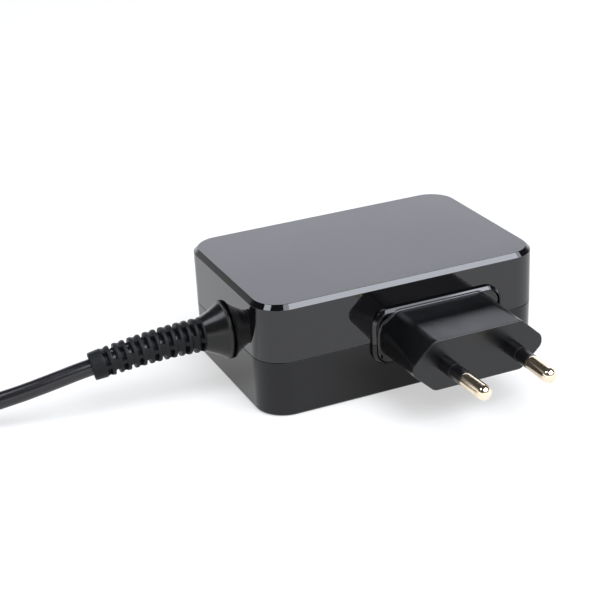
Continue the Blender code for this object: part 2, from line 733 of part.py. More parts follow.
def make_common_mode_choke(finishes):
    core_inner, core_outer, core_half = 0.0048, 0.0084, 0.0030
    wire = 0.0010
    centre = (0.0280, 0.0105, SEAT_Z + core_outer + GAP + wire + 0.0001)
    square = [(core_inner, -core_half), (core_outer, -core_half), (core_outer, core_half), (core_inner, core_half)]
    turns = [ring_section(centre, 2 * pi * i / 24, square) for i in range(24)]
    loft("choke_core", turns, finishes["ferrite"], closed=True)

    def sleeve_outline(out):
        return [(core_inner - out, -core_half - out), (core_outer + out, -core_half - out),
                (core_outer + out, core_half + out), (core_inner - out, core_half + out)]

    for name, middle in (("front", 180), ("back", 0)):
        angles = [radians(middle - 62 + 124 * i / 8) for i in range(9)]
        outer = [ring_section(centre, a, sleeve_outline(GAP + wire)) for a in angles]
        inner = [ring_section(centre, a, sleeve_outline(GAP)) for a in reversed(angles)]
        loft(f"choke_winding_{name}", outer + inner, finishes["copper"], closed=True)


def make_bulk_capacitor(finish):
    radius, length = 0.0078, 0.0250
    turned("bulk_capacitor", (-0.0035, 0.0085, SEAT_Z + radius), (1, 0, 0), [
        (0, radius - 0.0006), (0.0006, radius), (0.0020, radius), (0.0026, radius - 0.0005),
        (0.0032, radius), (length - 0.0006, radius), (length, radius - 0.0006),
    ], finish, count=28)


def make_transformer(finishes):
    x, y = -0.0170, 0.0030
    leg, depth, window, window_height, yoke = 0.0030, 0.0050, 0.0090, 0.0070, 0.0032
    middle = SEAT_Z + window_height + yoke
    core = box("transformer_core", (x - window - 0.003, y - depth, middle - window_height - yoke),
               (x + window + 0.003, y + depth, middle + window_height + yoke), finishes["ferrite"])
    for side in (-1, 1):
        low = (min(x + side * leg, x + side * window), y - 0.010, middle - window_height)
        high = (max(x + side * leg, x + side * window), y + 0.010, middle + window_height)
        cut = box(f"core_window_{side + 1}", low, high, finishes["ferrite"])
        combine(core, cut, "DIFFERENCE")

    def frame(half_x, half_y, z):
        return [(x + sx * half_x, y + sy * half_y, middle + z) for sx, sy in ((1, 1), (-1, 1), (-1, -1), (1, -1))]

    hole = (leg + GAP, depth + GAP)
    tube_half = (hole[0] + 0.0008, hole[1] + 0.0008)
    flange = (window - GAP, 0.0104)
    top, under = window_height - GAP, window_height - GAP - 0.0008
    loft("transformer_bobbin", [
        frame(*hole, -top), frame(*flange, -top), frame(*flange, -under), frame(*tube_half, -under),
        frame(*tube_half, under), frame(*flange, under), frame(*flange, top), frame(*hole, top),
    ], finishes["bobbin"], closed=True)
    wound, wound_in = under - GAP, (tube_half[0] + GAP, tube_half[1] + GAP)
    loft("transformer_winding", [
        frame(*wound_in, -wound), frame(flange[0] - 0.0004, flange[1] - 0.0004, -wound),
        frame(flange[0] - 0.0004, flange[1] - 0.0004, wound), frame(*wound_in, wound),
    ], finishes["tape"], closed=True)


def make_power_stage(finishes):
    back = BOARD_Y[1] - 0.0004
    for name, heatsink, x_range, x in (
        ("primary_switch", "primary_heatsink", (-0.0020, 0.0240), 0.0080),
        ("output_rectifier", "secondary_heatsink", (-0.0290, -0.0080), -0.0200),
    ):
        box(heatsink, (x_range[0], back - 0.0012, SEAT_Z), (x_range[1], back, 0.0240), finishes["aluminium"])
        near = back - 0.0012 - GAP
        box(name, (x - 0.0050, near - 0.0044, SEAT_Z + 0.0030), (x + 0.0050, near, SEAT_Z + 0.0150),
            finishes["package"], 0.0003)


def make_output_parts(finishes):
    stand("output_capacitor_1", (-0.0295, -0.0140), 0.0040, 0.0160, finishes["can"])
    stand("output_capacitor_2", (-0.0207, -0.0175), 0.0040, 0.0160, finishes["can"])
    stand("output_choke", (-0.0305, -0.0057), 0.0034, 0.0110, finishes["copper"])
    disc("safety_capacitor", (-0.0070, -0.0150), 0.0040, 0.0030, finishes["disc"])
    on_board("optocoupler", (-0.0130, -0.0112), (0.0046, 0.0062), 0.0036, finishes["package"])
    for name, side, finish in (("positive", 1, finishes["red"]), ("return", -1, finishes["black"])):
        route = [
            (-0.0347, side * 0.0012, AXIS_Z), (-0.0335, side * 0.0013, AXIS_Z - 0.0001),
            (-0.0325, side * 0.0014, AXIS_Z - 0.0010), (-0.0319, side * 0.0015, AXIS_Z - 0.0028),
            (-0.0318, side * 0.0016, AXIS_Z - 0.0052), (-0.0318, side * 0.0016, SEAT_Z),
        ]
        tube(f"output_wire_{name}", smooth_path(route, 0.0012), 0.0008, finish)


def main():
    clear_scene()
    finishes = make_materials()
    make_upper_shell(finishes["shell"])
    make_lower_shell(finishes["shell"])
    make_plug_body(finishes["plug"])
    make_pins(finishes["pin"], finishes["sleeve"], finishes["steel"])
    make_strain_relief(finishes["relief"])
    make_cord(finishes["cord"], finishes["tie"])
    make_connector(finishes["plug"], finishes["steel"], finishes["sleeve"])
    make_board(finishes["board"], finishes["sheet"], finishes["package"])
    make_filter_parts(finishes)
    make_common_mode_choke(finishes)
    make_bulk_capacitor(finishes["can"])
    make_transformer(finishes)
    make_power_stage(finishes)
    make_output_parts(finishes)


main()
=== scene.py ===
"""Looks of the wall-plug laptop power adapter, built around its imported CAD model. Metres, +Z up."""

from math import cos, pi, radians, sin

import bmesh
import bpy
from mathutils import Matrix, Vector


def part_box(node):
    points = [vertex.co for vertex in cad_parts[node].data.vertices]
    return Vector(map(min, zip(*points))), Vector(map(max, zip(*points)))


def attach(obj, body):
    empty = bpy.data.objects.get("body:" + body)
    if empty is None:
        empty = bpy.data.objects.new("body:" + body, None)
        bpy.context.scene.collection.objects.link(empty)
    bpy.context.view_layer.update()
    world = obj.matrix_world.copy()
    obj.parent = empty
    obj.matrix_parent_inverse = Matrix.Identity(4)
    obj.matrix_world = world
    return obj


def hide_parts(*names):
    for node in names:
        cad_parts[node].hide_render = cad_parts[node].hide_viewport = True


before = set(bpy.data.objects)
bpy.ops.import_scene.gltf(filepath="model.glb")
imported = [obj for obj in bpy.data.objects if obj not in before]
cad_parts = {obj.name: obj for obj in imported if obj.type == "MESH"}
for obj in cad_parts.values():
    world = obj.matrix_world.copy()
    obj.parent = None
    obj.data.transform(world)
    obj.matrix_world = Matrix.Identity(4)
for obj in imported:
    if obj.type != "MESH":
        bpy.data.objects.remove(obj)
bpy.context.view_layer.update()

BODY = "root"

# ---------------------------------------------------------------- sizes

# Housing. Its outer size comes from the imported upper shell, and its details repeat or refine the CAD's.
SHELL_LOW, SHELL_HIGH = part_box("upper_shell")
LENGTH = SHELL_HIGH.x - SHELL_LOW.x
WIDTH = 2 * SHELL_HIGH.y
HEIGHT = SHELL_HIGH.z
FRONT_Y = -WIDTH / 2
RIM_DEPTH = FRONT_Y - SHELL_LOW.y
CORNER_RADIUS = 0.0082
LEAST_CORNER = 0.0015
TOP_CHAMFER = 0.00115
CHAMFER_EDGE = 0.00018
BOTTOM_ROUND = 0.0008
FLAT_INSET = 0.0040
DRAFT = 0.00027
PARTING_Z = 0.0149
PARTING_GAP = 0.00012
PARTING_EDGE = 0.00007
WALL = 0.0022
SKIRT = 0.0010
TONGUE_HEIGHT = 0.0016
CLEARANCE = 0.0003
LEAD_OPENING_RADIUS = 0.0058
LEAD_CUTTER_REACH = 0.0050
PLUG_CUTTER_REACH = 0.0060
CORNER_STEPS = 20
RIM_STEPS = 12

# Plug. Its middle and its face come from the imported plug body.
PLUG_LOW, PLUG_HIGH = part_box("plug_body")
PLUG_X = (PLUG_LOW.x + PLUG_HIGH.x) / 2
PLUG_Z = (PLUG_LOW.z + PLUG_HIGH.z) / 2
FACE_Y = PLUG_LOW.y
RIM_HALF = (0.01855, 0.00755)
RIM_CORNER = 0.0042
RIM_SLOPE = 0.00100
RIM_LIP = 0.00085
FLANGE_HALF = (0.01745, 0.00690)
FLANGE_CORNER = 0.0037
FLANGE_SETBACK = 0.0003
FLANGE_EDGE = 0.0003
RETAINER_HALF = (0.0192, 0.0088)
RETAINER_CORNER = 0.0030
RETAINER_THICKNESS = 0.0016
NECK_FOOT = 0.0006
NECK_EDGE = 0.0003
# At the neck's base, middle and face: half its width and height, half its flat top and its upright side,
# and its corners' radius. The last row says how much of an inset each of the five takes.
NECK_BASE = (0.0169, 0.00675, 0.0120, 0.0031, 0.0042)
NECK_MIDDLE = (0.0173, 0.00668, 0.0121, 0.0022, 0.0036)
NECK_FACE = (0.0180, 0.00662, 0.0122, 0.0012, 0.0024)
NECK_INSET_SHARES = (1.0, 1.0, 0.45, 0.3, 1.0)
PIN_SPACING = 0.0185
PIN_TIP_SPACING = 0.0176
PIN_LENGTH = 0.0190
PIN_RADIUS = 0.0019
PIN_CORE_RADIUS = 0.0013
PIN_CORE_DEPTH = 0.0100
SLEEVE_LENGTH = 0.0094
SLEEVE_RADIUS = 0.0020
SLEEVE_BORE = 0.00135
SLEEVE_DEPTH = 0.0010
SLEEVE_STEP = 0.0047
SLEEVE_STEP_DEPTH = 0.00008

# Strain relief, by distance from the wall. Past its straight length it follows the lead's route.
CORD_RADIUS = 0.0022
CORD_FIT = 0.0001
AXIS_Z = 0.01487
BOSS_DEPTH = 0.0010
BOSS_RADIUS = 0.0055
FLANGE_RADIUS = 0.0078
FLANGE_BACK = 0.0002
FLANGE_FRONT = 0.0008
CONE_FOOT, CONE_FOOT_RADIUS = 0.0010, 0.0073
CONE_WAIST, CONE_WAIST_RADIUS = 0.0033, 0.0059
CONE_FLARE = 0.0060
CONE_LENGTH = 0.0063
STRAIGHT_LENGTH = 0.0009
RELIEF_LENGTH = 0.0360
NECK_RADIUS = 0.00445
TIP_RADIUS = 0.00365
SLOT_COUNT = 13
FIRST_SLOT = 0.0074
SLOT_PITCH = 0.00205
SLOT_WIDTH = 0.00122
SLOT_CUTTER_REACH = 0.0015
# First and last angle of each cut in degrees, 0 at the front and 90 on top. The two kinds of row take turns.
FOUR_CUTS = [(7, 68), (112, 173), (187, 248), (292, 353)]
TWO_CUTS = [(24, 156), (204, 336)]
RIB_SWELL = 0.00008
RIB_DIP = 0.00026
RIB_SHARPNESS = 1.3
TIP_ROUND = 0.0004

# The lead's route: its centre line from inside the housing to where the coil takes it.
LEAD_ROUTE = [
    (-0.0352, 0.0000, 0.01487),
    (-0.0400, 0.0000, 0.01487),
    (-0.0470, 0.0002, 0.01487),
    (-0.0538, 0.0004, 0.01475),
    (-0.0603, 0.0006, 0.01430),
    (-0.0667, 0.0008, 0.01360),
    (-0.0720, 0.0011, 0.01280),
    (-0.0782, 0.0018, 0.01160),
    (-0.0833, 0.0025, 0.01040),
    (-0.0884, 0.0032, 0.00920),
    (-0.0935, 0.0041, 0.00800),
    (-0.0980, 0.0051, 0.00700),
    (-0.1035, 0.0066, 0.00565),
    (-0.1090, 0.0084, 0.00425),
    (-0.1145, 0.0101, 0.00315),
    (-0.1200, 0.0115, 0.00247),
    (-0.1240, 0.0122, 0.00225),
    (-0.1270, 0.0124, 0.00220),
]
CORD_START = 2
CORD_SPACING = 0.0012

# Coil: twelve turns, three side by side and four high, tied at one place.
COIL_RADIUS = 0.0220
COIL_COLUMNS = 3
COIL_ROWS = 4
COIL_LIFT = 0.0007
COIL_CENTRE = (-0.1270, 0.0388)
COIL_START = radians(270)
COIL_STEP = radians(4)
LIFT_ANGLE = radians(120)
CHANGE_FROM, CHANGE_TO = radians(170), radians(110)
TIE_ANGLE = radians(60)
TIE_HALF_ANGLE = radians(13)
TIE_THICKNESS = 0.0006
TIE_GAP = 0.0002
TIE_EDGE = 0.0002
TIE_STEPS = 12

# The lead's last stretch leaves the coil's outer top turn, climbs and turns in across the coil.
TAIL_ANGLE = radians(291)
TAIL_RADIUS = 0.0140
TAIL_BLEND = radians(28)
TAIL_STEPS = 30
CLIMB_BEFORE = 0.0120
CLIMB_LENGTH = 0.0320

# Connector, lying across the coil
CONNECTOR_RADIUS = 0.00525
CONNECTOR_Z = 0.02405
CONNECTOR_RELIEF = 0.0120
CONNECTOR_GRIP = 0.0220
CORD_SEAT = 0.0010
ENTRY_RADIUS = CORD_RADIUS + 0.0006
SHOULDER_RADIUS = 0.0037
BEND_GROOVES, FIRST_BEND_GROOVE, BEND_GROOVE_PITCH = 5, 0.0018, 0.0019
GRIP_GROOVES, FIRST_GRIP_GROOVE, GRIP_GROOVE_PITCH = 6, 0.0060, 0.0018
METAL_SEAT = 0.0005
LINER_FIT = 0.00005
LINER_SETBACK = 0.0002
CONTACT_SETBACK = 0.0012
BARREL_LENGTH = 0.0095
BARREL_RADIUS = 0.00275
BARREL_BORE = 0.0021
INSULATOR_BORE = 0.0015
CONTACT_RADIUS = 0.0012
CONTACT_BORE = 0.0008


# ---------------------------------------------------------------- materials

class Nodes:
    """A material's node tree, with short ways to add and join nodes."""

    def __init__(self, name):
        self.material = bpy.data.materials.new(name)
        self.material.use_nodes = True
        self.tree = self.material.node_tree
        self.shader = self.tree.nodes["Principled BSDF"]
        self.place = self.add("ShaderNodeTexCoord").outputs["Object"]

    def add(self, kind, **settings):
        node = self.tree.nodes.new(kind)
        for key, value in settings.items():
            setattr(node, key, value)
        return node

    def join(self, output, target):
        self.tree.links.new(output, target)

    def scaled(self, factors):
        """The object's coordinates, stretched by a factor along each axis."""
        mapping = self.add("ShaderNodeMapping")
        mapping.inputs["Scale"].default_value = factors
        self.join(self.place, mapping.inputs["Vector"])
        return mapping.outputs["Vector"]

    def noise(self, scale, detail=3.0, rough=0.55, stretch=None):
        node = self.add("ShaderNodeTexNoise")
        node.inputs["Scale"].default_value = scale
        node.inputs["Detail"].default_value = detail
        node.inputs["Roughness"].default_value = rough
        self.join(self.scaled(stretch) if stretch else self.place, node.inputs["Vector"])
        return node.outputs["Fac"]

    def spread(self, value, low, high, start=0.3, end=0.7):
        """A value from 0 to 1 mapped on to a narrow range."""
        node = self.add("ShaderNodeMapRange")
        node.inputs["From Min"].default_value = start
        node.inputs["From Max"].default_value = end
        node.inputs["To Min"].default_value = low
        node.inputs["To Max"].default_value = high
        self.join(value, node.inputs["Value"])
        return node.outputs["Result"]

    def blend(self, value, dark, light, start=0.3, end=0.7):
        """A colour between two, by a value from 0 to 1."""
        node = self.add("ShaderNodeValToRGB")
        node.color_ramp.elements[0].position = start
        node.color_ramp.elements[1].position = end
        node.color_ramp.elements[0].color = (*dark, 1.0)
        node.color_ramp.elements[1].color = (*light, 1.0)
        self.join(value, node.inputs["Fac"])
        return node.outputs["Color"]

    def bump(self, value, depth, below=None):
        node = self.add("ShaderNodeBump")
        node.inputs["Distance"].default_value = depth
        self.join(value, node.inputs["Height"])
        if below is not None:
            self.join(below, node.inputs["Normal"])
        return node.outputs["Normal"]

    def finish(self, colour=None, roughness=None, normal=None, metallic=0.0, **fixed):
        if colour is not None:
            self.join(colour, self.shader.inputs["Base Color"])
        if roughness is not None:
            self.join(roughness, self.shader.inputs["Roughness"])
        if normal is not None:
            self.join(normal, self.shader.inputs["Normal"])
        self.shader.inputs["Metallic"].default_value = metallic
        for key, value in fixed.items():
            self.shader.inputs[key.replace("_", " ")].default_value = value
        return self.material


def tinted(colour, factor):
    return tuple(min(1.0, channel * factor) for channel in colour)


def plastic(name, colour, roughness, grain_size, grain_depth, uneven=0.15, spread=0.15, **fixed):
    """Moulded plastic: fine grain in the surface, slow changes of gloss and tone."""
    nodes = Nodes(name)
    slow = nodes.noise(90.0, 3.0)
    grain = nodes.noise(1.0 / grain_size, 2.0, 0.6)
    tone = nodes.blend(slow, tinted(colour, 1 - spread), tinted(colour, 1 + spread))
    gloss = nodes.spread(slow, roughness * (1 - uneven), roughness * (1 + uneven))
    return nodes.finish(tone, gloss, nodes.bump(grain, grain_depth), **fixed)


# The slope of the polished walls' slight warp, which shifts what they mirror.
WALL_LEAN = (0.065, 0.0, -0.050)


def polished_plastic():
    """The upper shell's walls: mirror gloss, slightly warped, with faint flow marks and hairline wear."""
    nodes = Nodes("polished_black_plastic")
    flow = nodes.noise(55.0, 2.0)
    hair = nodes.noise(420.0, 4.0, 0.7, stretch=(0.25, 0.25, 9.0))
    tone = nodes.blend(flow, (0.0014, 0.0014, 0.0018), (0.0022, 0.0022, 0.0028))
    gloss = nodes.spread(hair, 0.020, 0.050, 0.35, 0.75)
    lean = nodes.add("ShaderNodeVectorMath", operation="DOT_PRODUCT")
    lean.inputs[1].default_value = WALL_LEAN
    nodes.join(nodes.place, lean.inputs[0])
    normal = nodes.bump(flow, 0.0000010, nodes.bump(lean.outputs["Value"], 1.0))
    return nodes.finish(tone, gloss, normal, IOR=1.56, Specular_IOR_Level=0.56)


def satin_top():
    """The lid's flat top: a fine spark-eroded satin, a little uneven in gloss."""
    nodes = Nodes("satin_lid_plastic")
    grain = nodes.noise(5200.0, 2.0, 0.6)
    slow = nodes.noise(38.0, 3.0)
    tone = nodes.blend(slow, (0.050, 0.049, 0.052), (0.060, 0.059, 0.062))
    gloss = nodes.spread(slow, 0.36, 0.42)
    return nodes.finish(tone, gloss, nodes.bump(grain, 0.0000045), IOR=1.5)


def plated_metal(name, colour, roughness, wear_colour):
    """Turned and plated metal: fine rings round it, thin scuffs along it and a little wear."""
    nodes = Nodes(name)
    rings = nodes.noise(900.0, 2.0, 0.6, stretch=(0.2, 6.0, 0.2))
    scuffs = nodes.noise(500.0, 4.0, 0.7, stretch=(5.0, 0.3, 5.0))
    worn = nodes.noise(260.0, 4.0, 0.65)
    tone = nodes.blend(worn, wear_colour, colour, 0.32, 0.52)
    gloss = nodes.spread(scuffs, roughness * 0.7, roughness * 1.5, 0.35, 0.75)
    return nodes.finish(tone, gloss, nodes.bump(rings, 0.0000018), metallic=1.0)


def woven_strap(name, colour, thread):
    """A hook-and-loop strap: short raised loops on a woven back."""
    nodes = Nodes(name)
    loops = nodes.add("ShaderNodeTexVoronoi")
    loops.inputs["Scale"].default_value = 1.0 / thread
    nodes.join(nodes.place, loops.inputs["Vector"])
    fuzz = nodes.noise(2.6 / thread, 3.0, 0.7)
    tone = nodes.blend(loops.outputs["Distance"], tinted(colour, 1.5), tinted(colour, 0.5), 0.1, 0.6)
    gloss = nodes.spread(fuzz, 0.72, 0.92)
    normal = nodes.bump(fuzz, thread * 0.15, nodes.bump(loops.outputs["Distance"], thread * 0.35))
    return nodes.finish(tone, gloss, normal, Sheen_Weight=0.35, Sheen_Roughness=0.5)


def laminate(name, colour):
    """Circuit board: solder mask over a fine weave."""
    nodes = Nodes(name)
    weave = nodes.add("ShaderNodeTexBrick")
    weave.inputs["Scale"].default_value = 900.0
    nodes.join(nodes.place, weave.inputs["Vector"])
    tone = nodes.blend(weave.outputs["Fac"], colour, tinted(colour, 0.75), 0.0, 1.0)
    gloss = nodes.spread(nodes.noise(300.0), 0.3, 0.45)
    return nodes.finish(tone, gloss, nodes.bump(weave.outputs["Fac"], 0.00001))


def wound_wire(name, colour, wire, metallic=1.0):
    """Turns of wire lying side by side, as fine ridges."""
    nodes = Nodes(name)
    ridges = nodes.add("ShaderNodeTexWave", wave_type="BANDS", bands_direction="DIAGONAL")
    ridges.inputs["Scale"].default_value = 1.0 / wire
    ridges.inputs["Distortion"].default_value = 0.4
    nodes.join(nodes.place, ridges.inputs["Vector"])
    tone = nodes.blend(ridges.outputs["Fac"], tinted(colour, 0.55), colour, 0.1, 0.8)
    gloss = nodes.spread(nodes.noise(400.0), 0.25, 0.4)
    return nodes.finish(tone, gloss, nodes.bump(ridges.outputs["Fac"], wire * 0.2), metallic=metallic)


def make_materials():
    """Every finish. A plastic takes its colour, roughness, and the size and depth of its grain."""
    return {
        "gloss": polished_plastic(),
        "lid": satin_top(),
        "lower": plastic("satin_black_plastic", (0.0014, 0.0014, 0.0017), 0.12, 0.00022, 0.0000012,
                         IOR=1.54, Specular_IOR_Level=0.34),
        "plug": plastic("plug_plastic", (0.0018, 0.0020, 0.0023), 0.25, 0.00020, 0.0000022,
                        IOR=1.54, Specular_IOR_Level=0.48),
        "sleeve": plastic("sleeve_plastic", (0.0020, 0.0020, 0.0023), 0.30, 0.00030, 0.0000015),
        "pin": plated_metal("plated_pin_metal", (0.93, 0.80, 0.62), 0.16, (0.80, 0.64, 0.42)),
        "relief": plastic("relief_rubber", (0.0105, 0.0112, 0.0117), 0.44, 0.00024, 0.0000060,
                          Specular_IOR_Level=0.12),
        "cone": plastic("smooth_relief_rubber", (0.0060, 0.0062, 0.0058), 0.22, 0.00030, 0.0000030,
                        Specular_IOR_Level=0.36),
        "cord": plastic("cord_jacket", (0.0080, 0.0078, 0.0090), 0.22, 0.00045, 0.0000040),
        "tie": woven_strap("strap_fabric", (0.020, 0.020, 0.022), 0.00050),
        "grip": plastic("connector_rubber", (0.0105, 0.0108, 0.0120), 0.46, 0.00022, 0.0000050),
        "steel": plated_metal("nickel_plate", (0.78, 0.77, 0.74), 0.22, (0.66, 0.65, 0.62)),
        "insulator": plastic("connector_insulator", (0.0060, 0.0060, 0.0066), 0.35, 0.00030, 0.0000020),
        "board": laminate("board_laminate", (0.045, 0.15, 0.055)),
        "sheet": plastic("insulating_sheet", (0.60, 0.58, 0.50), 0.55, 0.0004, 0.000006),
        "aluminium": plated_metal("heatsink_aluminium", (0.78, 0.79, 0.80), 0.38, (0.68, 0.69, 0.70)),
        "ferrite": plastic("ferrite_core", (0.060, 0.060, 0.064), 0.55, 0.00025, 0.000012, spread=0.3),
        "copper": wound_wire("enamelled_copper", (0.72, 0.30, 0.12), 0.0005),
        "tape": wound_wire("yellow_tape", (0.78, 0.60, 0.07), 0.0040, metallic=0.0),
        "package": plastic("component_package", (0.022, 0.022, 0.024), 0.5, 0.00020, 0.000010),
        "can": plastic("capacitor_sleeve", (0.045, 0.060, 0.150), 0.32, 0.0006, 0.000004),
        "disc": plastic("disc_coating", (0.07, 0.20, 0.48), 0.38, 0.0005, 0.000008),
        "film": plastic("film_capacitor_case", (0.62, 0.60, 0.52), 0.42, 0.0003, 0.000006),
        "bobbin": plastic("bobbin_plastic", (0.025, 0.025, 0.026), 0.48, 0.0003, 0.000006),
        "red": plastic("red_wire_insulation", (0.50, 0.03, 0.03), 0.38, 0.0003, 0.000004),
        "black": plastic("black_wire_insulation", (0.016, 0.016, 0.017), 0.38, 0.0003, 0.000004),
    }


# ---------------------------------------------------------------- outlines

def rounded_rectangle(half_x, half_y, radius, steps=CORNER_STEPS):
    """Points of a rectangle with round corners, anticlockwise from its +X side."""
    points = []
    for quarter, (sign_x, sign_y) in enumerate([(1, 1), (-1, 1), (-1, -1), (1, -1)]):
        for step in range(steps + 1):
            angle = (quarter + step / steps) * pi / 2
            points.append((
                sign_x * (half_x - radius) + radius * cos(angle),
                sign_y * (half_y - radius) + radius * sin(angle),
            ))
    return points


def eased(points, steps=4):
    """A line of (a, b, radius) corners, each rounded by an arc of its radius."""
    line = []
    last = len(points) - 1
    for i, (a, b, radius) in enumerate(points):
        corner = Vector((a, b))
        if not radius or i in (0, last):
            line.append((a, b))
            continue
        before = (Vector(points[i - 1][:2]) - corner).normalized()
        after = (Vector(points[i + 1][:2]) - corner).normalized()
        line += arc_round(corner, before, after, radius, steps)
    return line


def arc_round(corner, before, after, radius, steps):
    """Points of the arc that touches both arms of a corner."""
    half_turn = before.angle(after) / 2
    centre = corner + (before + after).normalized() * (radius / sin(half_turn))
    start = corner + before * (radius * cos(half_turn) / sin(half_turn)) - centre
    sign = 1 if before.cross(after) < 0 else -1
    points = []
    for step in range(steps + 1):
        turn = Matrix.Rotation(sign * (pi - 2 * half_turn) * step / steps, 2)
        points.append(tuple(centre + turn @ start))
    return points


def rounded_polygon(corners, radius, steps=6):
    """Points of a polygon whose corners are rounded with arcs of one radius."""
    points = []
    count = len(corners)
    for i, corner in enumerate(corners):
        corner = Vector(corner)
        before = (Vector(corners[i - 1]) - corner).normalized()
        after = (Vector(corners[(i + 1) % count]) - corner).normalized()
        points += arc_round(corner, before, after, radius, steps)
    return points


def eight_corners(half_width, half_height, flat, side):
    """An octagon: a flat top and bottom, and short upright sides."""
    return [
        (half_width, side), (flat, half_height), (-flat, half_height), (-half_width, side),
        (-half_width, -side), (-flat, -half_height), (flat, -half_height), (half_width, -side),
    ]


def level(outline, z):
    return [(x, y, z) for x, y in outline]


def facing_front(outline, y):
    """An outline of (sideways, up) around the plug's axis, set in a plane of constant Y."""
    return [(PLUG_X + u, y, PLUG_Z + v) for u, v in outline]


def ring(centre, along, radius, count):
    """A circle's points around a centre, square to a direction, starting at its top."""
    along = Vector(along).normalized()
    upright = Vector((0, 1, 0)) if abs(along.z) > 0.99 else Vector((0, 0, 1))
    side = along.cross(upright).normalized()
    top = side.cross(along).normalized()
    points = []
    for i in range(count):
        angle = 2 * pi * i / count
        points.append(Vector(centre) + radius * (cos(angle) * top + sin(angle) * side))
    return points


def smooth_path(points, spacing):
    """Evenly spaced points on a smooth curve through the route's points (Catmull-Rom)."""
    route = [Vector(point) for point in points]
    padded = [2 * route[0] - route[1], *route, 2 * route[-1] - route[-2]]
    fine = []
    for a, b, c, d in zip(padded, padded[1:], padded[2:], padded[3:]):
        for step in range(12):
            t = step / 12
            fine.append(0.5 * (
                2 * b + (c - a) * t + (2 * a - 5 * b + 4 * c - d) * t**2
                + (3 * b - a - 3 * c + d) * t**3
            ))
    fine.append(route[-1])
    lengths = [0.0]
    for first, second in zip(fine, fine[1:]):
        lengths.append(lengths[-1] + (second - first).length)
    count = max(2, round(lengths[-1] / spacing))
    even, place = [], 0
    for i in range(count + 1):
        wanted = lengths[-1] * i / count
        while place < len(fine) - 2 and lengths[place + 1] < wanted:
            place += 1
        share = (wanted - lengths[place]) / (lengths[place + 1] - lengths[place])
        even.append(fine[place].lerp(fine[place + 1], share))
    return even


# ---------------------------------------------------------------- meshes

def join_rings(data, rings):
    """Faces between each ring of vertices and the next."""
    for first, second in zip(rings, rings[1:]):
        count = len(first)
        for i in range(count):
            j = (i + 1) % count
            data.faces.new((first[i], first[j], second[j], second[i]))


def skin(sections, closed=False):
    """A bmesh with a band of faces between each section and the next. It's capped, or joined end to end."""
    data = bmesh.new()
    rings = [[data.verts.new(point) for point in section] for section in sections]
    join_rings(data, [*rings, rings[0]] if closed else rings)
    if not closed:
        data.faces.new(rings[0])
        data.faces.new(rings[-1])
    return data


def add_mesh(name, data, finish):
    """An object in the scene that holds the bmesh, with its faces turned outwards."""
    bmesh.ops.remove_doubles(data, verts=data.verts, dist=1e-7)
    bmesh.ops.recalc_face_normals(data, faces=data.faces)
    mesh = bpy.data.meshes.new(name)
    data.to_mesh(mesh)
    data.free()
    mesh.materials.append(finish)
    made = bpy.data.objects.new(name, mesh)
    bpy.context.scene.collection.objects.link(made)
    return made


def turned(name, start, along, profile, finish, closed=False, count=48):
    """A solid turned about an axis, from (distance along it, radius) pairs."""
    start, along = Vector(start), Vector(along).normalized()
    sections = [ring(start + along * place, along, radius, count) for place, radius in profile]
    return add_mesh(name, skin(sections, closed), finish)


def apply_modifiers(made):
    """Puts the evaluated mesh in place of the object's own and drops its modifiers."""
    bpy.context.view_layer.update()
    graph = bpy.context.evaluated_depsgraph_get()
    mesh = bpy.data.meshes.new_from_object(made.evaluated_get(graph))
    made.modifiers.clear()
    old, made.data = made.data, mesh
    bpy.data.meshes.remove(old)


def combine(target, other, operation):
    """Applies a Boolean and removes the other object."""
    modifier = target.modifiers.new(other.name, "BOOLEAN")
    modifier.object = other
    modifier.operation = operation
    modifier.solver = "EXACT"
    apply_modifiers(target)
    mesh = other.data
    bpy.data.objects.remove(other, do_unlink=True)
    bpy.data.meshes.remove(mesh)


def ease_edges(made, width, angle, segments=2):
    modifier = made.modifiers.new("eased_edges", "BEVEL")
    modifier.width = width
    modifier.segments = segments
    modifier.limit_method = "ANGLE"
    modifier.angle_limit = radians(angle)
    modifier.harden_normals = False
    modifier.miter_outer = "MITER_ARC"
    apply_modifiers(made)


def place(made, *nodes, slot, smooth=30):
    """Shades a finished piece and fits it to the body in place of its CAD nodes."""
    if made.type == "MESH":
        made.data.shade_smooth()
        made.data.set_sharp_from_angle(angle=radians(smooth))
        flats = made.modifiers.new("flat_faces", "WEIGHTED_NORMAL")
        flats.keep_sharp = True
    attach(made, BODY)
    if nodes:
        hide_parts(*nodes)
    return made


# ---------------------------------------------------------------- camera, light and floor

CAMERA_AZIMUTH, CAMERA_ELEVATION = -23.09, 23.85
CAMERA_ROLL = radians(-2.94)
CAMERA_DISTANCE = 0.4012
CAMERA_AIM = (-0.01515, 0.00653, 0.01515)
LENS, SENSOR = 89.82, 36.0

KEY_PLACE = {"azimuth": 26, "elevation": 54}
KEY_DISTANCE = 1.3
LIGHT_COLOUR = (0.95, 0.98, 1.08)

# The world's brightness by height: 0 at the horizon and below, 1 straight up.
WORLD_STRENGTH = 1.7
WORLD_STOPS = [(0.0, 1.0), (0.10, 1.0), (0.24, 0.62), (0.36, 0.10), (0.50, 0.03), (1.0, 0.03)]
WORLD_BLUE = 1.02

FLOOR_HALF = 4.0
FLOOR_GLOW = 0.53


def heading(azimuth, elevation):
    """A unit vector from angles in degrees: azimuth 0 towards -Y and 90 towards +X."""
    turn, tip = radians(azimuth), radians(elevation)
    return Vector((sin(turn) * cos(tip), -cos(turn) * cos(tip), sin(tip)))


def facing_back(position, right, up, back):
    """The matrix of a camera or a light that looks the other way from back."""
    return Matrix.Translation(position) @ Matrix((right, up, back)).transposed().to_4x4()


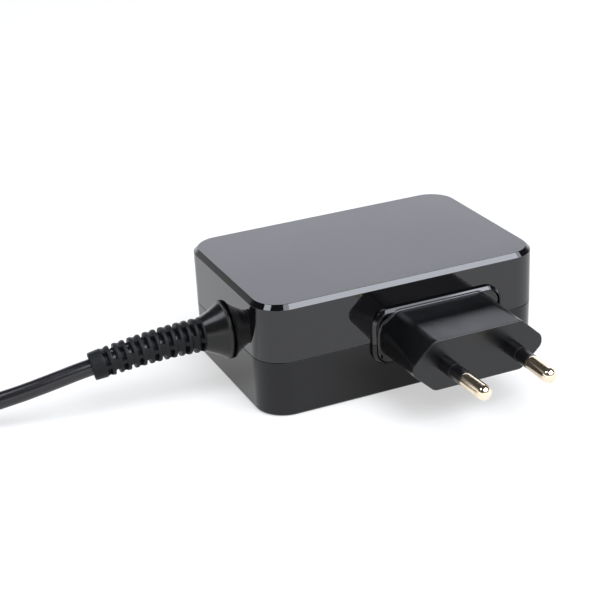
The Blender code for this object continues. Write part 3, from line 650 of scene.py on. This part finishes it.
def make_camera():
    back = heading(CAMERA_AZIMUTH, CAMERA_ELEVATION)
    right = Vector((0, 0, 1)).cross(back).normalized()
    up = back.cross(right)
    rolled_right = cos(CAMERA_ROLL) * right + sin(CAMERA_ROLL) * up
    rolled_up = cos(CAMERA_ROLL) * up - sin(CAMERA_ROLL) * right
    data = bpy.data.cameras.new("camera")
    data.lens = LENS
    data.sensor_width = SENSOR
    data.clip_start, data.clip_end = 0.01, 100.0
    camera = bpy.data.objects.new("camera", data)
    position = Vector(CAMERA_AIM) + CAMERA_DISTANCE * back
    camera.matrix_world = facing_back(position, rolled_right, rolled_up, back)
    bpy.context.scene.collection.objects.link(camera)
    bpy.context.scene.camera = camera


def panel(name, azimuth, elevation, distance, size, radiance, shift=(0.0, 0.0)):
    """A soft rectangle that faces the object, of an even radiance (1 shows as white)."""
    back = heading(azimuth, elevation)
    right = heading(azimuth + 90, 0)
    up = back.cross(right)
    data = bpy.data.lights.new(name, "AREA")
    data.shape = "RECTANGLE"
    data.size, data.size_y = size
    data.energy = radiance * size[0] * size[1] * pi
    data.color = LIGHT_COLOUR
    light = bpy.data.objects.new(name, data)
    light.matrix_world = facing_back(back * distance + right * shift[0] + up * shift[1], right, up, back)
    light.visible_camera = False
    bpy.context.scene.collection.objects.link(light)
    return light


def make_lights():
    """A softbox in front, above and to the right, brighter in its middle, and three panels round about."""
    panel("softbox", **KEY_PLACE, distance=KEY_DISTANCE, size=(1.50, 0.94), radiance=4.0)
    panel("softbox_middle", **KEY_PLACE, distance=KEY_DISTANCE - 0.02, size=(0.95, 0.62), radiance=4.0,
          shift=(-0.03, -0.02))
    panel("back_panel", azimuth=161, elevation=21, distance=1.6, size=(1.2, 0.6), radiance=1.5)
    panel("left_panel", azimuth=-102, elevation=58, distance=1.3, size=(0.50, 0.40), radiance=6.0)
    overhead = panel("overhead", azimuth=0, elevation=83, distance=1.6, size=(1.0, 1.0), radiance=5.5)
    overhead.visible_glossy = False


def make_world():
    """A bright horizon that fades to a dim room above."""
    world = bpy.data.worlds.new("studio")
    bpy.context.scene.world = world
    world.use_nodes = True
    tree = world.node_tree
    direction = tree.nodes.new("ShaderNodeTexCoord")
    split = tree.nodes.new("ShaderNodeSeparateXYZ")
    ramp = tree.nodes.new("ShaderNodeValToRGB")
    tree.links.new(direction.outputs["Generated"], split.inputs["Vector"])
    tree.links.new(split.outputs["Z"], ramp.inputs["Fac"])
    ramp.color_ramp.elements[0].position = WORLD_STOPS[0][0]
    ramp.color_ramp.elements[1].position = WORLD_STOPS[-1][0]
    for position, _ in WORLD_STOPS[1:-1]:
        ramp.color_ramp.elements.new(position)
    for element, (_, brightness) in zip(ramp.color_ramp.elements, WORLD_STOPS):
        element.color = (brightness, brightness, brightness * WORLD_BLUE, 1.0)
    background = tree.nodes["Background"]
    background.inputs["Strength"].default_value = WORLD_STRENGTH
    tree.links.new(ramp.outputs["Color"], background.inputs["Color"])


def make_floor():
    """A pale floor with a faint glow of its own, so that it shows as white around the shadows."""
    nodes = Nodes("floor_white")
    tone = nodes.blend(nodes.noise(3.0), (0.312, 0.310, 0.297), (0.328, 0.326, 0.312))
    glow = nodes.blend(nodes.noise(2.0), (0.99, 0.99, 0.99), (1.01, 1.01, 1.01))
    nodes.join(glow, nodes.shader.inputs["Emission Color"])
    gloss = nodes.spread(nodes.noise(40.0), 0.85, 0.95)
    finish = nodes.finish(tone, gloss, Emission_Strength=FLOOR_GLOW, Specular_IOR_Level=0.04)
    half = FLOOR_HALF
    corners = [(-half, -half), (half, -half), (half, half), (-half, half)]
    data = bmesh.new()
    data.faces.new([data.verts.new((x, y, 0.0)) for x, y in corners])
    add_mesh("floor", data, finish)


# ---------------------------------------------------------------- cord, coil and connector

def smooth_step(value):
    value = min(max(value, 0.0), 1.0)
    return value * value * (3 - 2 * value)


def row_and_column(turn):
    """A turn's place in the bundle: the rows are filled outside in, then inside out."""
    row, step = divmod(min(turn, COIL_ROWS * COIL_COLUMNS - 1), COIL_COLUMNS)
    return row, step if row % 2 else COIL_COLUMNS - 1 - step


def coil_place(turned_by):
    """The cord's centre after an angle wound clockwise from the coil's start."""
    turn, within = divmod(turned_by, 2 * pi)
    share = smooth_step((within - COIL_START + CHANGE_FROM) / (CHANGE_FROM - CHANGE_TO))
    row, column = row_and_column(int(turn))
    next_row, next_column = row_and_column(int(turn) + 1)
    row += (next_row - row) * share
    column += (next_column - column) * share
    angle = COIL_START - turned_by
    radius = COIL_RADIUS + (column - (COIL_COLUMNS - 1) / 2) * 2 * CORD_RADIUS
    lift = COIL_LIFT * smooth_step(turned_by / LIFT_ANGLE)
    return Vector((
        COIL_CENTRE[0] + radius * cos(angle), COIL_CENTRE[1] + radius * sin(angle),
        CORD_RADIUS + 2 * CORD_RADIUS * row + lift,
    ))


def tail_place(turned_by):
    """The cord's centre after an angle turned clockwise past the place where it leaves the coil."""
    outer = COIL_RADIUS + CORD_RADIUS * (COIL_COLUMNS - 1)
    radius = outer if turned_by < 0 else TAIL_RADIUS
    centre = Vector(COIL_CENTRE) + (outer - radius) * Vector((cos(TAIL_ANGLE), sin(TAIL_ANGLE)))
    angle = TAIL_ANGLE - turned_by
    share = smooth_step((radius * turned_by + CLIMB_BEFORE) / CLIMB_LENGTH)
    low = COIL_LIFT + (2 * COIL_ROWS - 1) * CORD_RADIUS
    return Vector((
        centre.x + radius * cos(angle), centre.y + radius * sin(angle), low + (CONNECTOR_Z - low) * share,
    ))


def connector_frame():
    """Where the connector starts and the way it points."""
    along = -Vector((cos(TAIL_ANGLE), sin(TAIL_ANGLE), 0))
    return tail_place(pi / 2) + CLEARANCE * along, along


def cord_route():
    """The cord's centre line: the lead, then the coil's turns, then the tail up to the connector."""
    lead = smooth_path(LEAD_ROUTE[CORD_START:], CORD_SPACING)
    total = 2 * pi * COIL_ROWS * COIL_COLUMNS - (TAIL_ANGLE - COIL_START) - TAIL_BLEND
    count = round(total / COIL_STEP)
    coil = [coil_place(total * i / count) for i in range(1, count + 1)]
    tail_turn = TAIL_BLEND + pi / 2
    tail = [tail_place(-TAIL_BLEND + tail_turn * i / TAIL_STEPS) for i in range(1, TAIL_STEPS + 1)]
    start, along = connector_frame()
    return lead + coil + tail + [start + CORD_SEAT * along]


def make_cord(finishes):
    curve = bpy.data.curves.new("cord", "CURVE")
    curve.dimensions = "3D"
    curve.bevel_depth = CORD_RADIUS
    curve.bevel_resolution = 8
    curve.use_fill_caps = True
    curve.materials.append(finishes["cord"])
    points = cord_route()
    spline = curve.splines.new("POLY")
    spline.points.add(len(points) - 1)
    for point, position in zip(spline.points, points):
        point.co = (*position, 1.0)
    spline.use_smooth = True
    cord = bpy.data.objects.new("cord", curve)
    bpy.context.scene.collection.objects.link(cord)
    place(cord, "cord_lead", "cord_coil", "cord_tail", slot="cord")


def make_tie(finish):
    """A strap wrapped once round the coil's bundle, a little thinner at its two edges."""
    diameter = 2 * CORD_RADIUS
    half_width, half_height = COIL_COLUMNS * diameter / 2, COIL_ROWS * diameter / 2
    centre = Vector((*COIL_CENTRE, TIE_THICKNESS + CLEARANCE + half_height))

    def wrap(angle, grow):
        outline = rounded_rectangle(half_width + grow, half_height + grow, CORD_RADIUS + grow, 8)
        out = Vector((cos(angle), sin(angle), 0))
        return [centre + out * (COIL_RADIUS + u) + Vector((0, 0, v)) for u, v in outline]

    angles = [TIE_ANGLE + TIE_HALF_ANGLE * (2 * i / TIE_STEPS - 1) for i in range(TIE_STEPS + 1)]
    edge_angle = TIE_EDGE / COIL_RADIUS
    outer = TIE_GAP + TIE_THICKNESS
    sections = [wrap(angles[0], outer - TIE_EDGE)]
    for angle in [angles[0] + edge_angle, *angles[1:-1], angles[-1] - edge_angle]:
        sections.append(wrap(angle, outer))
    sections.append(wrap(angles[-1], outer - TIE_EDGE))
    sections += [wrap(angle, TIE_GAP) for angle in reversed(angles)]
    tie = add_mesh("coil_strap", skin(sections, closed=True), finish)
    place(tie, "coil_tie", slot="tie", smooth=50)
    return tie


def groove(middle, half_top, half_floor, radius, depth, ease, rise=0.0):
    """The corners of one groove round a turned part."""
    return [
        (middle - half_top, radius, ease), (middle - half_floor, radius - depth, ease),
        (middle + half_floor, radius - depth, ease), (middle + half_top, radius + rise, ease),
    ]


def grip_profile():
    """The connector's cover: a grooved bend relief, a shoulder and a grip with fine grooves."""
    shoulder, end = CONNECTOR_RELIEF, CONNECTOR_RELIEF + CONNECTOR_GRIP
    profile = [(0, CORD_RADIUS + 0.0002, 0), (0, ENTRY_RADIUS, 0.0002)]
    for index in range(BEND_GROOVES):
        middle = FIRST_BEND_GROOVE + index * BEND_GROOVE_PITCH
        outer = ENTRY_RADIUS + (SHOULDER_RADIUS - ENTRY_RADIUS) * middle / shoulder
        profile += groove(middle, 0.00035, 0.00035, outer, 0.0007, 0.00012, rise=0.00006)
    profile += [
        (shoulder, SHOULDER_RADIUS, 0.0004), (shoulder + 0.0012, CONNECTOR_RADIUS, 0.0008),
        (shoulder + 0.0048, CONNECTOR_RADIUS, 0),
    ]
    for index in range(GRIP_GROOVES):
        middle = shoulder + FIRST_GRIP_GROOVE + index * GRIP_GROOVE_PITCH
        profile += groove(middle, 0.0004, 0.0002, CONNECTOR_RADIUS, 0.0003, 0.0001)
    return eased([*profile, (end, CONNECTOR_RADIUS, 0.0009), (end, BARREL_RADIUS + 0.0001, 0)], 3)


def tube(name, start, along, span, radii, eases, steps, finish):
    """A tube from span[0] to span[1] along an axis, with its far end's outer and inner edges eased."""
    (base, tip), (inner, outer) = span, radii
    profile = eased([
        (base, inner, 0), (base, outer, 0), (tip, outer, eases[0]), (tip, inner, eases[1]), (base, inner, 0),
    ], steps)
    return turned(name, start, along, profile[:-1], finish, closed=True)


def make_connector(finishes):
    """The barrel connector on the lead's far end, and the list of its pieces."""
    start, along = connector_frame()
    end = CONNECTOR_RELIEF + CONNECTOR_GRIP
    base, tip = end - METAL_SEAT, end + CLEARANCE + BARREL_LENGTH
    grip = turned("connector_cover", start, along, grip_profile(), finishes["grip"])
    place(grip, "connector_grip", slot="relief", smooth=40)
    barrel = tube("connector_sleeve", start, along, (base, tip), (BARREL_BORE, BARREL_RADIUS),
                  (0.0003, 0.0001), 4, finishes["steel"])
    place(barrel, "connector_barrel", slot="tinned_metal")
    insulator = tube("connector_liner", start, along, (base, tip - LINER_SETBACK),
                     (INSULATOR_BORE, BARREL_BORE - LINER_FIT), (0.0001, 0.0002), 3, finishes["insulator"])
    place(insulator, "connector_insulator", slot="sleeve")
    contact = tube("connector_socket", start, along, (base, tip - CONTACT_SETBACK),
                   (CONTACT_BORE, CONTACT_RADIUS), (0.0001, 0.0001), 3, finishes["steel"])
    place(contact, "connector_contact", slot="tinned_metal")
    return [grip, barrel, insulator, contact]


# ---------------------------------------------------------------- strain relief

ROUTE_SPACING = 0.0001
ROUTE = smooth_path(LEAD_ROUTE, ROUTE_SPACING)
ROUTE_AT_WALL = min(range(len(ROUTE)), key=lambda i: abs(ROUTE[i].x + LENGTH / 2))


def relief_frame(distance):
    """The centre line's point and direction at a distance out from the wall."""
    index, share = divmod(ROUTE_AT_WALL + distance / ROUTE_SPACING, 1)
    index = int(index)
    return ROUTE[index].lerp(ROUTE[index + 1], share), (ROUTE[index + 5] - ROUTE[index - 5]).normalized()


def make_slot_cutter(finish):
    """One helper mesh with a wedge of ring for each cut through the ribbed part."""
    data = bmesh.new()
    inner, outer, half, steps = CORD_RADIUS + CORD_FIT, NECK_RADIUS + SLOT_CUTTER_REACH, SLOT_WIDTH / 2, 14
    corners = [(-half, inner), (-half, outer), (half, outer), (half, inner)]
    for index in range(SLOT_COUNT):
        centre, along = relief_frame(FIRST_SLOT + SLOT_PITCH * index)
        front = Vector((0, -1, 0))
        front = (front - front.dot(along) * along).normalized()
        top = along.cross(front)
        top = top if top.z > 0 else -top
        for first, last in TWO_CUTS if index % 2 else FOUR_CUTS:
            rings = []
            for step in range(steps + 1):
                angle = radians(first + (last - first) * step / steps)
                out = cos(angle) * front + sin(angle) * top
                points = [centre + along * shift + out * radius for shift, radius in corners]
                rings.append([data.verts.new(point) for point in points])
            join_rings(data, rings)
            data.faces.new(rings[0])
            data.faces.new(rings[-1])
    return add_mesh("relief_slots", data, finish)


def rib_radius(distance):
    """The ribbed part's radius: a slow taper, drawn in at each row of cuts."""
    taper = (distance - CONE_LENGTH) / (RELIEF_LENGTH - CONE_LENGTH)
    radius = NECK_RADIUS + (TIP_RADIUS - NECK_RADIUS) * taper
    row = (distance - FIRST_SLOT) / SLOT_PITCH
    if -0.5 < row < SLOT_COUNT - 0.5:
        dip = (0.5 + 0.5 * cos(2 * pi * row)) ** RIB_SHARPNESS
        radius += RIB_SWELL - (RIB_DIP + RIB_SWELL) * dip
    return radius


def relief_profile():
    """(distance, radius) pairs: boss, flange, cone, ribs and tip, and then back along the bore."""
    outline = eased([
        (-BOSS_DEPTH, BOSS_RADIUS, 0), (FLANGE_BACK, BOSS_RADIUS, 0),
        (FLANGE_BACK, FLANGE_RADIUS, 0.00010), (FLANGE_FRONT, FLANGE_RADIUS, 0.0003),
        (CONE_FOOT, CONE_FOOT_RADIUS, 0.0002),
        (CONE_WAIST, CONE_WAIST_RADIUS, CONE_FLARE), (CONE_LENGTH, NECK_RADIUS, 0),
    ], 6)
    last_rib = FIRST_SLOT + SLOT_PITCH * (SLOT_COUNT - 0.5)
    steps = SLOT_COUNT * 10
    for step in range(1, steps + 1):
        distance = CONE_LENGTH + (last_rib - CONE_LENGTH) * step / steps
        outline.append((distance, rib_radius(distance)))
    for angle in range(0, 91, 15):
        back, down = 1 - sin(radians(angle)), 1 - cos(radians(angle))
        outline.append((RELIEF_LENGTH - TIP_ROUND * back, TIP_RADIUS - TIP_ROUND * down))
    bore, back_steps = CORD_RADIUS + CORD_FIT, 24
    outline += [(RELIEF_LENGTH * (1 - step / back_steps), bore) for step in range(back_steps + 1)]
    return [*outline, (-BOSS_DEPTH, bore)]


def make_strain_relief(rubber, gloss_rubber):
    sections = []
    for distance, radius in relief_profile():
        if distance < STRAIGHT_LENGTH:
            centre, along = Vector((-LENGTH / 2 - distance, 0, AXIS_Z)), Vector((-1, 0, 0))
        else:
            centre, along = relief_frame(distance)
        sections.append(ring(centre, along, radius, 64))
    relief = add_mesh("cord_strain_relief", skin(sections, closed=True), rubber)
    combine(relief, make_slot_cutter(rubber), "DIFFERENCE")
    ease_edges(relief, 0.00010, 55)
    relief.data.materials.append(gloss_rubber)
    cone_end = -LENGTH / 2 - CONE_LENGTH
    for face in relief.data.polygons:
        face.material_index = 1 if face.center.x > cone_end else 0
    place(relief, "strain_relief", slot="relief", smooth=42)


# ---------------------------------------------------------------- housing

def housing_outline(inset, z):
    radius = max(CORNER_RADIUS - inset, LEAST_CORNER)
    return level(rounded_rectangle(LENGTH / 2 - inset, WIDTH / 2 - inset, radius), z)


def rim_outline(inset, y):
    """The rim's outline, drawn in by an inset, in a plane of constant Y."""
    outline = rounded_rectangle(RIM_HALF[0] - inset, RIM_HALF[1] - inset, RIM_CORNER - inset, RIM_STEPS)
    return facing_front(outline, y)


def rim_ring(name, keep_above, finish):
    """One half of the raised rim around the plug, cut level with the parting line."""
    profile = eased([
        (0, FRONT_Y + WALL / 2, 0), (0, FRONT_Y - RIM_DEPTH + RIM_SLOPE, 0.00020),
        (RIM_LIP, FRONT_Y - RIM_DEPTH, 0.00010), (RIM_LIP, FRONT_Y + WALL / 2, 0),
    ], 6)
    data = skin([rim_outline(inset, y) for inset, y in profile], closed=True)
    cut_z = PARTING_Z + (PARTING_GAP if keep_above else -PARTING_GAP) / 2
    geometry = data.verts[:] + data.edges[:] + data.faces[:]
    result = bmesh.ops.bisect_plane(
        data, geom=geometry, plane_co=(0, 0, cut_z), plane_no=(0, 0, 1),
        clear_inner=keep_above, clear_outer=not keep_above,
    )
    edges = [item for item in result["geom_cut"] if isinstance(item, bmesh.types.BMEdge)]
    bmesh.ops.holes_fill(data, edges=edges)
    return add_mesh(name, data, finish)


def plug_opening(name, finish):
    ends = (FRONT_Y + PLUG_CUTTER_REACH, FRONT_Y - PLUG_CUTTER_REACH)
    return add_mesh(name, skin([rim_outline(RIM_LIP / 2, y) for y in ends]), finish)


def lead_opening(name, finish):
    start = (-LENGTH / 2 - LEAD_CUTTER_REACH, 0, AXIS_Z)
    profile = [(0, LEAD_OPENING_RADIUS), (2 * LEAD_CUTTER_REACH, LEAD_OPENING_RADIUS)]
    return turned(name, start, (1, 0, 0), profile, finish)


def open_shell(shell, name, above, finish):
    """Cuts the plug's and the lead's openings and adds the rim's half."""
    combine(shell, plug_opening(f"{name}_plug_opening", finish), "DIFFERENCE")
    combine(shell, rim_ring(f"{name}_rim", above, finish), "UNION")
    combine(shell, lead_opening(f"{name}_lead_opening", finish), "DIFFERENCE")


def make_upper_shell(finishes):
    low = PARTING_Z + PARTING_GAP / 2
    ledge = low + TONGUE_HEIGHT + 2 * CLEARANCE
    profile = eased([
        (TOP_CHAMFER + FLAT_INSET, HEIGHT, 0), (TOP_CHAMFER, HEIGHT, CHAMFER_EDGE),
        (0, HEIGHT - TOP_CHAMFER, CHAMFER_EDGE), (0, low, PARTING_EDGE), (SKIRT, low, 0),
        (SKIRT, ledge, 0), (WALL, ledge, 0), (WALL, HEIGHT - WALL, 0),
    ], 4)
    sections = [housing_outline(inset, z) for inset, z in profile]
    shell = add_mesh("upper_housing", skin(sections), finishes["gloss"])
    open_shell(shell, "upper", True, finishes["gloss"])
    shell.data.materials.clear()
    shell.data.materials.append(finishes["gloss"])
    shell.data.materials.append(finishes["lid"])
    for face in shell.data.polygons:
        on_top = face.center.z > HEIGHT - 0.00002 and face.normal.z > 0.99
        face.material_index = 1 if on_top else 0
    place(shell, "upper_shell", slot="shell")


def make_lower_shell(finishes):
    high = PARTING_Z - PARTING_GAP / 2
    tongue = SKIRT + CLEARANCE
    profile = eased([
        (DRAFT + BOTTOM_ROUND + FLAT_INSET, 0, 0), (DRAFT, 0, BOTTOM_ROUND), (0, high, PARTING_EDGE),
        (tongue, high, 0), (tongue, high + TONGUE_HEIGHT, 0), (WALL, high + TONGUE_HEIGHT, 0),
        (WALL + DRAFT, WALL, 0),
    ], 5)
    sections = [housing_outline(inset, z) for inset, z in profile]
    shell = add_mesh("lower_housing", skin(sections), finishes["lower"])
    open_shell(shell, "lower", False, finishes["lower"])
    shell.data.materials.clear()
    shell.data.materials.append(finishes["lower"])
    place(shell, "lower_shell", slot="shell")


# ---------------------------------------------------------------- plug

def round_cornered(half, radius):
    cut = radius * (1 - 0.4142)
    return rounded_polygon(eight_corners(half[0], half[1], half[0] - cut, half[1] - cut), radius * 0.999)


def neck_section(share, inset=0.0):
    """The neck's outline from its base (0) to its face (1), drawn in by an inset."""
    sizes = []
    for base, middle, face, inset_share in zip(NECK_BASE, NECK_MIDDLE, NECK_FACE, NECK_INSET_SHARES):
        if share < 0.5:
            size = base + (middle - base) * share * 2
        else:
            size = middle + (face - middle) * (share * 2 - 1)
        sizes.append(size - inset * inset_share)
    *corner_sizes, corner = sizes
    return rounded_polygon(eight_corners(*corner_sizes), corner, 10)


def pin_axis(side):
    """Where a pin's axis passes the plug's face, and its direction out of it."""
    start = Vector((PLUG_X + side * PIN_SPACING / 2, FACE_Y, PLUG_Z))
    lean = side * (PIN_TIP_SPACING - PIN_SPACING) / 2
    return start, Vector((lean, -PIN_LENGTH, 0)).normalized()


def quarter_turn(steps, first=0):
    """The sine and cosine of even steps from 0 to 90 degrees."""
    angles = [step / steps * pi / 2 for step in range(first, steps + 1)]
    return [(sin(angle), cos(angle)) for angle in angles]


def make_plug_body(finish):
    """The plate behind the wall, the flange in the rim, and the neck with its foot and its face."""
    flange_y = FRONT_Y - RIM_DEPTH + FLANGE_SETBACK
    inside = FRONT_Y + WALL + CLEARANCE
    retainer = round_cornered(RETAINER_HALF, RETAINER_CORNER)
    sections = [
        facing_front(retainer, inside + RETAINER_THICKNESS),
        facing_front(retainer, inside),
        facing_front(round_cornered(FLANGE_HALF, FLANGE_CORNER), inside),
    ]
    for sine, cosine in quarter_turn(4):
        inset = FLANGE_EDGE * (1 - cosine)
        outline = round_cornered((FLANGE_HALF[0] - inset, FLANGE_HALF[1] - inset), FLANGE_CORNER - inset)
        sections.append(facing_front(outline, flange_y + FLANGE_EDGE * (1 - sine)))
    for sine, cosine in quarter_turn(4):
        outline = neck_section(0.0, -NECK_FOOT * (1 - sine))
        sections.append(facing_front(outline, flange_y - NECK_FOOT * (1 - cosine)))
    neck_start, neck_end, neck_steps = flange_y - NECK_FOOT, FACE_Y + NECK_EDGE, 10
    for step in range(1, neck_steps + 1):
        share = step / neck_steps
        sections.append(facing_front(neck_section(share), neck_start + (neck_end - neck_start) * share))
    for sine, cosine in quarter_turn(4, first=1):
        outline = neck_section(1.0, NECK_EDGE * (1 - cosine))
        sections.append(facing_front(outline, neck_end - NECK_EDGE * sine))
    body = add_mesh("plug_neck", skin(sections), finish)
    place(body, "plug_body", slot="plug", smooth=28)


def pin_profile():
    """A thin core inside the sleeve, then the full pin, and a domed tip."""
    core_end = SLEEVE_LENGTH + 0.0001
    shank = eased([
        (-PIN_CORE_DEPTH, PIN_CORE_RADIUS, 0), (core_end, PIN_CORE_RADIUS, 0),
        (core_end, PIN_RADIUS, 0.00015), (SLEEVE_LENGTH + 0.001, PIN_RADIUS, 0),
    ], 3)
    dome = []
    for angle in range(0, 90, 8):
        back, share = 1 - sin(radians(angle)), cos(radians(angle))
        dome.append((PIN_LENGTH - PIN_RADIUS * back, PIN_RADIUS * share))
    return [*shank, *dome, (PIN_LENGTH, 0.00005)]


def sleeve_profile():
    """The insulating sleeve, with a shallow step half way along it."""
    slim = SLEEVE_RADIUS - SLEEVE_STEP_DEPTH
    return eased([
        (-SLEEVE_DEPTH, SLEEVE_BORE, 0), (-SLEEVE_DEPTH, SLEEVE_RADIUS, 0),
        (SLEEVE_STEP, SLEEVE_RADIUS, 0.00006), (SLEEVE_STEP, slim, 0.00002),
        (SLEEVE_LENGTH, slim, 0.00012), (SLEEVE_LENGTH, SLEEVE_BORE, 0), (-SLEEVE_DEPTH, SLEEVE_BORE, 0),
    ], 3)[:-1]


def make_pins(finishes):
    for side, name in ((-1, "left"), (1, "right")):
        start, along = pin_axis(side)
        pin = turned(f"pin_{name}", start, along, pin_profile(), finishes["pin"])
        place(pin, f"plug_pin_{name}", slot="pin", smooth=35)
        sleeve = turned(f"sleeve_{name}", start, along, sleeve_profile(), finishes["sleeve"], closed=True)
        place(sleeve, f"pin_sleeve_{name}", slot="sleeve", smooth=35)


# ---------------------------------------------------------------- inner pieces, as the CAD made them

INNER_FINISHES = {
    "steel": ["pin_contact_left", "pin_contact_right"],
    "board": ["main_board"],
    "sheet": ["insulation_sheet"],
    "package": ["controller_chip", "input_fuse", "bridge_rectifier", "primary_switch", "output_rectifier",
                "optocoupler"],
    "bobbin": ["inrush_thermistor", "transformer_bobbin"],
    "disc": ["surge_varistor", "safety_capacitor"],
    "film": ["suppression_capacitor"],
    "ferrite": ["choke_core", "transformer_core"],
    "copper": ["choke_winding_front", "choke_winding_back", "output_choke"],
    "can": ["bulk_capacitor", "output_capacitor_1", "output_capacitor_2"],
    "tape": ["transformer_winding"],
    "aluminium": ["primary_heatsink", "secondary_heatsink"],
    "red": ["output_wire_positive"],
    "black": ["output_wire_return"],
}


def finish_inner_pieces(finishes):
    for finish, names in INNER_FINISHES.items():
        for name in names:
            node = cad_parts[name]
            if not node.material_slots:
                node.data.materials.append(finishes[finish])
            for slot in node.material_slots:
                slot.material = finishes[finish]


# ---------------------------------------------------------------- the whole

def main():
    bpy.context.scene.view_settings.view_transform = "Standard"
    make_camera()
    make_lights()
    make_world()
    make_floor()
    finishes = make_materials()
    on_cord = make_connector(finishes)
    on_cord.append(make_tie(finishes["tie"]))
    make_cord(finishes)
    make_strain_relief(finishes["relief"], finishes["cone"])
    make_upper_shell(finishes)
    make_lower_shell(finishes)
    make_plug_body(finishes["plug"])
    make_pins(finishes)
    finish_inner_pieces(finishes)


main()
